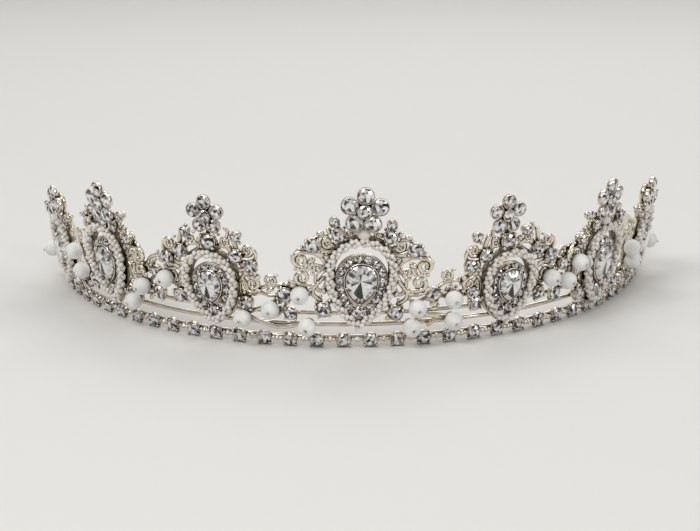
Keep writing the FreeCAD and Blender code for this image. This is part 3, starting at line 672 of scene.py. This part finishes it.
smallScrolls = [
    ("curl", [(6.6, 8.0), (9.0, 8.8)], (11.2, 10.7), 1.5, 250, 1.35, 0.5, 0.34),
    ("curl", [(7.6, 1.6), (9.2, 3.6), (10.4, 3.8)], (11.6, 1.7), 1.8, 110, -1.3, 0.52, 0.34),
    ("curl", [(2.4, 9.6), (3.2, 11.0)], (4.8, 12.4), 1.4, 215, 1.25, 0.46, 0.32),
    ("strand", [(6.2, 7.8), (7.9, 9.4), (7.9, 12.0), (7.2, 14.6)], 0.6, 0.5),
    ("strand", [(7.4, 4.8), (9.6, 5.4), (11.9, 7.0)], 0.58, 0.5),
    ("strand", [(7.0, -2.6), (9.4, -3.2)], 0.58, 0.5),
    ("strand", [(9.8, -1.8), (11.4, -0.8), (11.0, 0.6)], 0.48, 0.4),
    ("strand", [(12.6, 8.0), (13.4, 9.4), (12.9, 11.2)], 0.44, 0.36),
    ("strand", [(5.6, 13.6), (6.2, 15.2), (5.4, 16.2)], 0.42, 0.34),
    ("oval", (8.8, -0.2), 1.1, 2.6, 0.4),
    ("leaf", (10.0, 4.5), 1.15, 0.78, 30), ("leaf", (9.6, 6.9), 1.2, 0.8, 50),
    ("leaf", (6.1, 10.9), 1.15, 0.8, -40), ("leaf", (13.2, 3.6), 0.95, 0.66, 60),
    ("leaf", (2.4, 12.4), 0.9, 0.6, 120), ("leaf", (8.9, -1.0), 0.9, 0.6, 80),
    ("leaf", (11.4, 4.6), 0.9, 0.62, -20), ("leaf", (8.3, 4.0), 0.95, 0.62, 60),
    ("strand", [(9.0, 1.2), (9.8, -0.4), (11.4, -0.8), (13.0, 0.2)], 0.44, 0.34),
    ("grain", (9.6, 10.6), 0.6), ("grain", (6.0, 12.9), 0.55),
    ("grain", (10.9, -2.9), 0.55), ("grain", (13.0, 5.6), 0.55), ("grain", (9.4, 12.6), 0.5),
    ("grain", (13.2, -0.2), 0.55), ("grain", (3.6, 14.3), 0.5),
]
scrollwork = {"plateMiddle": 0.45, "weight": 1.22, "leafWeight": 1.12, "largeHalfWidth": 9.4,
              "smallHalfWidth": 8.3, "closedReach": 11.0}
twist = {"band": 2.8, "pitch": 5.6, "step": 0.96, "reach": 0.63, "rise": 0.45, "seed": 0.675}
pearCut = {"sides": 22, "girdle": 0.16, "crown": 1.2, "outline": 0.97, "break": 0.86, "table": 0.64,
           "keel": (-0.2, 0.14), "back": (-0.1, -0.9)}
haloMount = {"face": 0.78, "edge": 0.55, "collet": 0.34, "mouth": 0.12, "claws": 5, "claw": 0.3,
             "clawLine": 0.2, "clawLean": 0.45, "clawBall": 0.36, "grain": 0.27, "grainReach": 0.62,
             "rimGrain": 0.2, "rimPitch": 0.52}
backFrame = {"rail": 0.42, "railOut": 1.06, "haloRing": 0.4, "pearRing": 0.36, "spokes": 9, "spoke": 0.32,
             "tie": 0.42}
flower = {"reach": 5.2, "stem": 0.85,
          "bow": [(2.4, -0.3, 0.0), (2.6, 1.6, 0.1), (1.4, 2.9, 0.2), (0.4, 3.2, 0.2)],
          "back": [(0, -0.35), (2.2, -0.35), (2.5, 0.1), (2.4, 1.1), (0, 1.1)]}
openSides = {"left_middle": (False, True), "right_middle": (True, False),
             "left_outer": (True, False), "right_outer": (False, True)}


def localCorners(matrix, points):  # a solid's corners in a medallion's own frame, in millimetres
    inverse = matrix.inverted()
    return np.array([inverse @ Vector(p) for p in points]) / mm


def addStroke(bm, stroke, side, scale, level):
    kind = stroke[0]
    weight = scrollwork["weight"]

    def spot(point, lift=0.0):
        return Vector((side * point[0] * scale, point[1] * scale, level + lift))

    if kind == "strand":
        path = smoothPath([spot(p, 0.12 * i) for i, p in enumerate(stroke[1])], 5)
        tube(bm, path, stroke[2] * weight, stroke[3] * weight)
    elif kind == "curl":
        stem, centre, radius, angle, turns, thick, thin = stroke[1:]
        points = [spot(p) for p in stem]
        for p in spiral(centre, radius, angle, turns, 0.0):
            points.append(spot(p[:2], 0.25))
        tube(bm, smoothPath(points, 2), thick * weight, thin * weight)
        ball(bm, points[-1], thin * weight * 1.5, detail=1)
    elif kind == "oval":
        centre, across, tall, thick = stroke[1:]
        angles = [t * math.pi / 12 for t in range(24)]
        points = [spot((centre[0] + across * math.cos(t), centre[1] + tall * math.sin(t))) for t in angles]
        tube(bm, points, thick * weight, sides=6, closed=True)
    elif kind == "leaf":
        place, longHalf, wideHalf, angle = stroke[1:]
        turn = math.radians(angle if side > 0 else 180 - angle)
        ball(bm, spot(place, 0.3), scale * scrollwork["leafWeight"], (longHalf, wideHalf, 0.5), turn)
    elif kind == "grain":
        ball(bm, spot(stroke[1], 0.35), stroke[2] * scale, detail=1)


def flatBand(bm, outer, inner, low, high):  # pierced band between two outlines
    rings = [[Vector((p.x, p.y, low)) for p in outer], [Vector((p.x, p.y, high)) for p in outer],
             [Vector((p.x, p.y, high)) for p in inner], [Vector((p.x, p.y, low)) for p in inner]]
    count = len(outer)
    made = [[bm.verts.new(p) for p in ring] for ring in rings]
    for first, second in zip(made, made[1:] + made[:1]):
        for i in range(count):
            j = (i + 1) % count
            bm.faces.new((first[i], first[j], second[j], second[i]))


def pearStoneMesh(name, width, height, lift):  # pear cut: crown rows and a table fanned to a low keel
    bm = bmesh.new()
    tone = bm.faces.layers.float.new("facetTone")
    sides = pearCut["sides"]
    girdle, crown = pearCut["girdle"], pearCut["crown"]

    def level(share, z, start=0.0):
        line = PearLine(width * share, height * share, lift)
        return [bm.verts.new(p) for p in line.ring(sides, z, start)]

    lower, upper = level(pearCut["outline"], 0.0), level(pearCut["outline"], girdle)
    breaks = level(pearCut["break"], girdle + 0.45 * (crown - girdle), 0.5)
    table = level(pearCut["table"], crown)
    keel = bm.verts.new((pearCut["keel"][0], lift + height * pearCut["keel"][1], crown + 0.02))
    back = bm.verts.new((0, lift + height * pearCut["back"][0], pearCut["back"][1]))
    # each facet value picks a painted reflection tone, from dark to white
    for i in range(sides):
        j = (i + 1) % sides
        for face in ((upper[i], lower[i], lower[j], upper[j]), (lower[i], back, lower[j])):
            bm.faces.new(face)[tone] = 0.5
        bm.faces.new((upper[i], upper[j], breaks[i]))[tone] = dice.choice((0.3, 0.6, 0.75, 0.9))
        main = bm.faces.new((upper[j], breaks[j], table[j], breaks[i]))
        main[tone] = dice.choice((0.2, 0.45, 0.6, 0.78, 0.88))
        bm.faces.new((table[i], breaks[i], table[j]))[tone] = dice.choice((0.3, 0.5, 0.65, 0.8))
        share = (i + 0.5) / sides
        if share < 0.04 or share > 0.9:
            value = dice.choice((0.02, 0.02, 0.14))  # painted dark reflection in the wedge under the point
        elif share < 0.22:
            value = 0.8  # painted highlight on the flank that catches the light
        else:
            value = dice.choice((0.24, 0.35, 0.5, 0.62, 0.75))
        bm.faces.new((table[i], table[j], keel))[tone] = value
    return meshObject(name, bm, False)


def originIn(matrix, place):  # a placed piece's origin in a medallion's own frame
    return Vector(localCorners(matrix, [place[0].translation])[0])


def makePearls(name, matrix, seedLevel, width, height, large):  # the rope, and the large pearls singly
    places = []
    line = PearLine(width - twist["band"], height - twist["band"])
    turns = round(line.length() / twist["pitch"])
    perStrand = round(line.length() / twist["step"])
    for strand in range(2):
        for i in range(perStrand):
            share = (i + strand / 2) / perStrand
            angle = 2 * math.pi * (turns * share + strand / 2)
            run = share * line.length()
            along = (line.at(run + 0.3) - line.at(run - 0.3)).normalized()
            across = Vector((along.y, -along.x, 0))
            spot = line.at(run, seedLevel) + twist["reach"] * math.cos(angle) * across
            spot.z += twist["rise"] * math.sin(angle)
            tilt = Matrix.Rotation(dice.uniform(0, 6.28), 4, "X")
            tilt = tilt @ Matrix.Rotation(dice.uniform(0, 6.28), 4, "Y")
            size = twist["seed"] * dice.uniform(0.95, 1.0) * mm
            places.append((matrix @ Matrix.Translation(spot * mm) @ tilt, size))
    for points in large:
        corners = localCorners(matrix, points)
        low, high = corners.min(0), corners.max(0)
        centre = Vector(((low[0] + high[0]) / 2, (low[1] + high[1]) / 2, low[2] + 0.2))
        places.append((matrix @ Matrix.Translation(centre * mm), (high[0] - low[0]) / 2 * mm * 0.97))
    setOnPlaces(name + "_pearls", seedTemplate, places, pearl, len(name), name + "_pearl_ring")


def makeAccents(name, matrix):  # petals stand round the flower's back disc, the other stones have claws
    flowerSolids = [localCorners(matrix, points) for points in solidsOf(name + "_flower_setting")]
    disc = min(flowerSolids, key=lambda c: np.ptp(c[:, 2]) / np.ptp(c[:, 0]))
    flowerCentre = Vector((disc.min(0) + disc.max(0)) / 2)
    petals, claws = [], []
    for points in solidsOf(name + "_accent_crystals"):
        place = stonePlace(points, stoneCut["pavilion"])
        away = originIn(matrix, place) - flowerCentre
        (petals if away.xy.length < flower["reach"] else claws).append(place)
    setOnPlaces(name + "_accent_stones", stoneTemplate, spunAll(petals + claws, 0, 45), crystal,
                20 + len(name), name + "_accent_crystals")
    setOnPlaces(name + "_petal_cups", petalTemplate, petals, cast, 3, name + "_flower_setting")
    setOnPlaces(name + "_claw_cups", cupTemplate, spunAll(claws, -20, 20), cast, 4, name + "_filigree")
    return claws, flowerCentre


def makeHaloMount(name, toMetres, haloLine, pearLine, base, girdleLevel, haloSpots, stoneRadius):
    # domed plate, collet with claws, and grains between the stones
    bm = bmesh.new()
    mount = haloMount
    face = base + mount["face"]
    rings = [PearLine(*haloLine).ring(72, base)]
    for grow, z in ((0.0, base + mount["edge"]), (-0.12, face + 0.02), (-0.4, face)):
        rings.append(PearLine(*haloLine, grow).ring(72, z))
    middle = Vector((0, haloLine[2] - 1, 0))
    skinRings(bm, rings, False, middle + Vector((0, 0, base)), middle + Vector((0, 0, face - 0.02)))
    collet = PearLine(*pearLine, mount["collet"]).ring(72)
    mouth = PearLine(*pearLine, mount["mouth"]).ring(72)
    flatBand(bm, collet, mouth, base + 0.7, girdleLevel + 0.12)
    clawLine = PearLine(*pearLine, mount["clawLine"])
    for i in range(mount["claws"]):
        foot = clawLine.at(i / mount["claws"] * clawLine.length(), base + 0.8)
        lean = Vector((-foot.x, pearLine[2] - foot.y, 0)).normalized() * mount["clawLean"]
        tip = foot + lean + Vector((0, 0, girdleLevel - base - 0.3))
        shoulder = foot + Vector((0, 0, girdleLevel - base - 0.7))
        tube(bm, smoothPath([foot, shoulder, tip], 3), mount["claw"], mount["claw"] * 0.87, 6)
        ball(bm, tip, mount["clawBall"], detail=1)
    spots = sorted(haloSpots, key=lambda spot: math.atan2(spot.x, spot.y - haloLine[2]))
    for first, second in zip(spots, spots[1:] + spots[:1]):
        if (second - first).length < 4 * stoneRadius:
            between = (first + second) / 2
            across = Vector((first.y - second.y, second.x - first.x, 0)).normalized() * stoneRadius
            for way in (-1, 1):
                spot = between + across * way * mount["grainReach"] + Vector((0, 0, 0.1))
                ball(bm, spot, mount["grain"], detail=1)
    rim = PearLine(*haloLine, -mount["rimGrain"])
    for spot in rim.ring(int(rim.length() / mount["rimPitch"]), face):
        ball(bm, spot, mount["rimGrain"], detail=1)
    setting = meshObject(name + "_halo_mount", bm)
    setting.data.transform(toMetres)
    finishPiece(setting, cast, name + "_halo_setting")


def makeScrollwork(name, matrix, width, height, haloLine, pearLine, claws, flowerCentre):
    bm = bmesh.new()
    level = scrollwork["plateMiddle"]
    ropeSize = (width - twist["band"], height - twist["band"])
    ropeLine = PearLine(*ropeSize)
    for grow in (-backFrame["railOut"], backFrame["railOut"]):
        tube(bm, PearLine(*ropeSize, 0.0, grow).ring(64, level), backFrame["rail"], closed=True)
    flatBand(bm, PearLine(*ropeSize, 0.0, 0.9).ring(64), PearLine(*ropeSize, 0.0, -0.9).ring(64),
             level - 0.25, level + 0.3)
    haloRing = PearLine(*haloLine, -0.5)
    tube(bm, haloRing.ring(48, level), backFrame["haloRing"], closed=True)
    inner = PearLine(*pearLine, -0.6)
    tube(bm, inner.ring(40, level), backFrame["pearRing"], closed=True)
    for i in range(backFrame["spokes"]):
        share = i / backFrame["spokes"]
        start, end = haloRing.at(share * haloRing.length(), level), inner.at(share * inner.length(), level)
        tube(bm, [start, (start + end) / 2, end], backFrame["spoke"], sides=6)
    for side in (-1, 1):
        start = haloRing.at(haloRing.length() * (0.5 - side * 0.2), level)
        end = ropeLine.at(ropeLine.length() * (0.5 - side * 0.24), level)
        tube(bm, [start, (start + end) / 2, end], backFrame["tie"])
    tube(bm, [haloRing.at(0, level), ropeLine.at(0, level)], backFrame["tie"])
    small = name.endswith("inner")
    scale = width / 2 / scrollwork["smallHalfWidth" if small else "largeHalfWidth"]
    for side, isOpen in zip((-1, 1), openSides.get(name, (True, True))):
        for stroke in smallScrolls if small else largeScrolls:
            if isOpen or sideReach(stroke) <= scrollwork["closedReach"]:
                addStroke(bm, stroke, side, scale, level)
    for place in claws:
        spot = originIn(matrix, place)
        spot.z = level
        tube(bm, [spot - Vector((0, 0, 0.3)), spot + Vector((0, 0, 0.5))], place[1] / mm * 0.9, sides=12)
    crest = Vector((flowerCentre.x, flowerCentre.y, level))
    peak = Vector((0, ropeLine.top + ropeLine.half, level))
    tube(bm, smoothPath([peak, peak * 0.45 + crest * 0.55, crest], 5), flower["stem"], flower["stem"] * 0.88)
    for side in (-1, 1):
        bow = [peak + Vector((side * x, y, z)) for x, y, z in flower["bow"]]
        tube(bm, smoothPath(bow, 4), 0.42, 0.32)
    lathe(bm, flower["back"], 20, Matrix.Translation(crest))
    work = meshObject(name + "_scrollwork", bm)
    work.data.transform(matrix @ Matrix.Scale(mm, 4))
    finishPiece(work, cast, name + "_filigree")


def sideReach(stroke):  # how far a stroke's stem or middle lies from the ring's middle
    if stroke[0] == "curl":
        return stroke[2][0]
    return max(spot[0] for spot in (stroke[1] if stroke[0] == "strand" else [stroke[1]]))


def outlineOf(corners):  # width, height and middle height of a piece in a medallion's own frame
    low, high = corners.min(0), corners.max(0)
    return high[0] - low[0], high[1] - low[1], (low[1] + high[1]) / 2


def makeMedallion(name):
    pearPoints = solidsOf(name + "_pear_crystal")[0]
    rough = axesFrom(outwardAxis(pearPoints), outwardAxis(pearPoints, True), Vector(pearPoints.mean(0)))
    ring = solidsOf(name + "_pearl_ring")
    seedSize = sorted(float(np.ptp(points[:, 2])) for points in ring)[len(ring) // 2]
    seeds = [(p.min(0) + p.max(0)) / 2 for p in ring if np.ptp(p[:, 2]) < 1.3 * seedSize]
    large = [p for p in ring if np.ptp(p[:, 2]) >= 1.3 * seedSize]
    local = localCorners(rough, seeds)
    plate = localCorners(rough, max(solidsOf(name + "_filigree"), key=len))
    middle = (local.min(0) + local.max(0)) / 2
    matrix = rough @ Matrix.Translation(Vector((middle[0], middle[1], plate[:, 2].min())) * mm)
    toMetres = matrix @ Matrix.Scale(mm, 4)
    width, height = (np.ptp(local, axis=0) + seedSize / mm)[:2]

    seedLevel = float(localCorners(matrix, seeds)[:, 2].mean())
    makePearls(name, matrix, seedLevel, width, height, large)
    claws, flowerCentre = makeAccents(name, matrix)

    halo = [stonePlace(points, stoneCut["pavilion"]) for points in solidsOf(name + "_halo_crystals")]
    setOnPlaces(name + "_halo_stones", stoneTemplate, spunAll(halo, 0, 45), crystal, 40 + len(name),
                name + "_halo_crystals")

    pearCorners = localCorners(matrix, pearPoints)
    pearLine = outlineOf(pearCorners)
    girdleLevel = pearCorners[:, 2].max() - pearCut["crown"]
    cut = pearStoneMesh(name + "_pear_stone", *pearLine)
    cut.data.transform(toMetres @ Matrix.Translation((0, 0, girdleLevel)))
    finishPiece(cut, crystal, name + "_pear_crystal")

    haloCorners = localCorners(matrix, max(solidsOf(name + "_halo_setting"), key=len))
    haloLine = outlineOf(haloCorners)
    makeHaloMount(name, toMetres, haloLine, pearLine, haloCorners[:, 2].min(), girdleLevel,
                  [originIn(matrix, place) for place in halo], halo[0][1] / mm)
    makeScrollwork(name, matrix, width, height, haloLine, pearLine, claws, flowerCentre)
    print("medallion", name, f"{width:.1f} x {height:.1f} mm,", len(claws), "claw cups")


for name in medallionNames:
    makeMedallion(name)


# bridges, beads and their wire
bridgeStones = [stonePlace(points, stoneCut["pavilion"]) for points in solidsOf("bridge_crystals")]
setOnPlaces("bridge_stones", stoneTemplate, spunAll(bridgeStones, 0, 45), crystal, 71, "bridge_crystals")
setOnPlaces("bridge_cups", cupTemplate, spunAll(bridgeStones, -25, 25), cast, 72, "bridge_scrolls")
beads = []
for points in solidsOf("opal_beads"):
    centre = Vector((points.min(0) + points.max(0)) / 2)
    away = centre - bandCentre
    outward = Vector((away.x, away.y, 0)).normalized() * math.cos(flare)
    outward.z = -math.sin(flare)
    beads.append((axesFrom(outward, Vector((0, 0, 1)), centre), float(np.ptp(points[:, 2])) / 2))
setOnPlaces("opal_bead_row", beadTemplate, beads, opal, 73, "opal_beads")
print("beads:", len(beads), "bridge stones:", len(bridgeStones))


# rings (arc, height, radius), then the strand that carries the cups and beads, in millimetres
bridges = [
    ([(-21.3, 18.0, 2.0), (-25.2, 15.2, 1.5)],
     [(-12.1, 6.9), (-28.2, 8.3), (-16.3, 9.8), (-21.0, 11.2), (-17.4, 14.9), (-25.2, 15.2), (-13.4, 15.6),
      (-21.3, 18.0)]),
    ([(20.4, 18.8, 2.0), (24.4, 17.2, 1.4)],
     [(11.6, 6.4), (22.2, 7.2), (12.7, 11.6), (21.9, 13.2), (27.2, 13.6), (17.0, 14.4), (24.4, 17.2),
      (20.4, 18.8)]),
    ([(-50.4, 21.6, 1.6), (-56.2, 17.5, 1.7)],
     [(-60.4, 7.9), (-51.6, 11.6), (-56.2, 12.9), (-47.4, 16.6), (-52.0, 17.4), (-56.2, 17.5),
      (-50.4, 21.6)]),
    ([(49.8, 20.3, 1.5), (55.9, 20.9, 1.5)],
     [(51.6, 9.4), (54.4, 13.0), (48.1, 15.0), (53.2, 17.4), (58.0, 17.4), (49.8, 20.3), (55.9, 20.9)]),
    ([(-84.9, 21.2, 1.6)], [(-84.6, 6.6), (-82.9, 11.4), (-84.9, 16.6), (-84.9, 21.2)]),
    ([(84.6, 19.4, 1.6)], [(84.2, 6.4), (87.2, 11.0), (84.4, 15.2), (84.6, 19.4)]),
    ([(-114.2, 15.2, 1.7), (-117.6, 9.6, 1.4)],
     [(-117.6, 9.6), (-113.2, 10.2), (-116.4, 12.6), (-114.2, 15.2)]),
    ([(114.2, 15.0, 1.7), (117.6, 9.6, 1.4)], [(117.6, 9.6), (113.2, 10.0), (116.4, 12.6), (114.2, 15.0)]),
]
bridgeWork = {"depth": 1.07, "strand": 0.52, "pad": 1.2, "ring": 0.46, "stretch": 1.0225}


def makeBridge(bm, rings, climb):
    work = bridgeWork
    ringSpots = [ring[:2] for ring in rings]
    cupsAndBeads = [spot for spot in climb if spot not in ringSpots]
    middle = sum(spot[0] for spot in cupsAndBeads + ringSpots) / len(cupsAndBeads + ringSpots)
    part = bmesh.new()

    def local(arc, height, lift=0.0):
        return Vector(((arc - middle) * work["stretch"], height, work["depth"] + lift))

    for first, last in zip(climb, climb[1:]):
        start, end = local(*first), local(*last)
        sag = Vector((start.y - end.y, end.x - start.x, 0)) * 0.14
        tube(part, smoothPath([start, (start + end) / 2 + sag, end], 6), work["strand"])
        leaf = (start + end) / 2 - sag * 0.5 + Vector((0, 0, 0.3))
        if (end - start).length > 4.5:
            ball(part, leaf, 1.0, (1.15, 0.62, 0.5), math.atan2(end.y - start.y, end.x - start.x) + 0.5)
            ball(part, leaf + Vector((0.9, 0.9, 0)), 0.5, detail=1)
    for arc, height, radius in rings:
        centre = local(arc, height)
        path = spiral(centre.xy, radius - work["ring"] * 0.6, 250, 1.45, work["depth"] + 0.15, 0.62)
        tube(part, path, work["ring"], work["ring"] * 0.7)
        ball(part, path[-1] + Vector((0, 0, 0.1)), 0.52, detail=1)
        ball(part, centre + Vector((radius * 0.9, radius * 0.75, 0.2)), 0.5, detail=1)
    edge = work["pad"]
    pad = [(0, -0.45), (edge, -0.45), (edge + 0.12, -0.1), (edge * 0.85, 0.45), (0, 0.45)]
    for spot in cupsAndBeads:
        lathe(part, pad, 14, Matrix.Translation(local(*spot)))
    part.transform(bandPlace(middle) @ Matrix.Scale(mm, 4))
    mesh = bpy.data.meshes.new("bridge_part")
    part.to_mesh(mesh)
    part.free()
    bm.from_mesh(mesh)
    bpy.data.meshes.remove(mesh)


bm = bmesh.new()
for rings, climb in bridges:
    makeBridge(bm, rings, climb)
finishPiece(meshObject("bridge_scrollwork", bm), cast, "bridge_scrolls")

for name in ("lower_band_wire", "middle_band_wire", "upper_band_wire", "left_end_plate",
             "right_end_plate", "sewing_wire"):
    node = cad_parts[name]
    node.data.materials.clear()
    node.data.materials.append(silverWire if "wire" in name else silverPlate)

for template in (stoneTemplate, cupTemplate, petalTemplate, seedTemplate, footLinkTemplate, beadTemplate):
    bpy.data.objects.remove(template)

# stage, light and camera
stage = {"floorSize": 8.0, "wallHeight": 2.0, "bend": 0.35, "backdrop": 1.1, "floor": "#E4E2DE",
         "worldStrength": 0.7,
         "room": [(0.0, "#8A8A8A"), (0.46, "#2E2E30"), (0.60, "#525255"), (0.70, "#DDDDDF"),
                  (1.0, "#FFFFFF")],
         "softboxes": [("key_box", (-0.45, -0.55, 0.75), (0.5, 0.4), 3.7),
                       ("fill_box", (0.75, -0.45, 0.4), (0.4, 0.4), 1.5),
                       ("back_box", (0.1, 0.6, 0.6), (0.8, 0.3), 1.8)]}
bm = bmesh.new()
half, back, rise = stage["floorSize"] / 2, stage["backdrop"], stage["bend"]
profile = [(-half, 0.0), (back, 0.0)]
bend = [t * math.pi / 24 for t in range(1, 13)]
profile += [(back + rise * math.sin(t), rise - rise * math.cos(t)) for t in bend]
profile.append((back + rise, stage["wallHeight"]))
rows = [[bm.verts.new((x, y, z)) for y, z in profile] for x in (-half, half)]
for i in range(len(profile) - 1):
    bm.faces.new((rows[0][i], rows[1][i], rows[1][i + 1], rows[0][i + 1]))
floor = meshObject("studio_floor", bm)
paper, tree, shader = newMaterial("paper_backdrop_matt")
shader.inputs["Base Color"].default_value = hexColour(stage["floor"])
shader.inputs["Roughness"].default_value = 0.75
floor.data.materials.append(paper)

world = bpy.data.worlds.new("soft_room")
bpy.context.scene.world = world
world.use_nodes = True
tree = world.node_tree
sky = addNode(tree, "ShaderNodeTexCoord").outputs["Generated"]
height = addNode(tree, "ShaderNodeSeparateXYZ", None, {"Vector": sky}).outputs["Z"]
room = ramp(tree, spread(tree, height, (-1.0, 1.0), (0.0, 1.0)), stage["room"])
air = tree.nodes["Background"]
seen = addNode(tree, "ShaderNodeLightPath").outputs["Is Camera Ray"]
view = addNode(tree, "ShaderNodeMix", {"data_type": "RGBA"}, {"Factor": seen})
tree.links.new(room, view.inputs["A"])
view.inputs["B"].default_value = hexColour(stage["floor"])
tree.links.new(view.outputs["Result"], air.inputs["Color"])
air.inputs["Strength"].default_value = stage["worldStrength"]

lightTarget = Vector((0, 0, 0.02))
for name, place, size, power in stage["softboxes"]:
    light = bpy.data.lights.new(name, "AREA")
    light.shape = "RECTANGLE"
    light.size, light.size_y = size
    light.energy = power
    thing = bpy.data.objects.new(name, light)
    thing.location = place
    thing.rotation_euler = (lightTarget - Vector(place)).to_track_quat("-Z", "Y").to_euler()
    bpy.context.scene.collection.objects.link(thing)

camera = {"lens": 92.57, "azimuth": 1.439, "pitch": 14.873, "roll": 0.5, "from": (-13.14, -429.22, 134.65)}
lens = bpy.data.cameras.new("camera")
lens.lens = camera["lens"]
lens.sensor_width = 36.0
lens.clip_start = 0.01
eye = bpy.data.objects.new("camera", lens)
azimuth, pitch = math.radians(camera["azimuth"]), math.radians(camera["pitch"])
forward = Vector((math.sin(azimuth) * math.cos(pitch), math.cos(azimuth) * math.cos(pitch), -math.sin(pitch)))
right = forward.cross(Vector((0, 0, 1))).normalized()
above = right.cross(forward)
roll = math.radians(camera["roll"])
top = above * math.cos(roll) + right * math.sin(roll)
side = forward.cross(top)
pose = Matrix((side, top, -forward)).transposed().to_4x4()
pose.translation = frontFoot + Vector(camera["from"]) * mm
eye.matrix_world = pose
bpy.context.scene.collection.objects.link(eye)
bpy.context.scene.camera = eye
bpy.context.scene.view_settings.view_transform = "Standard"

print("stage ready")
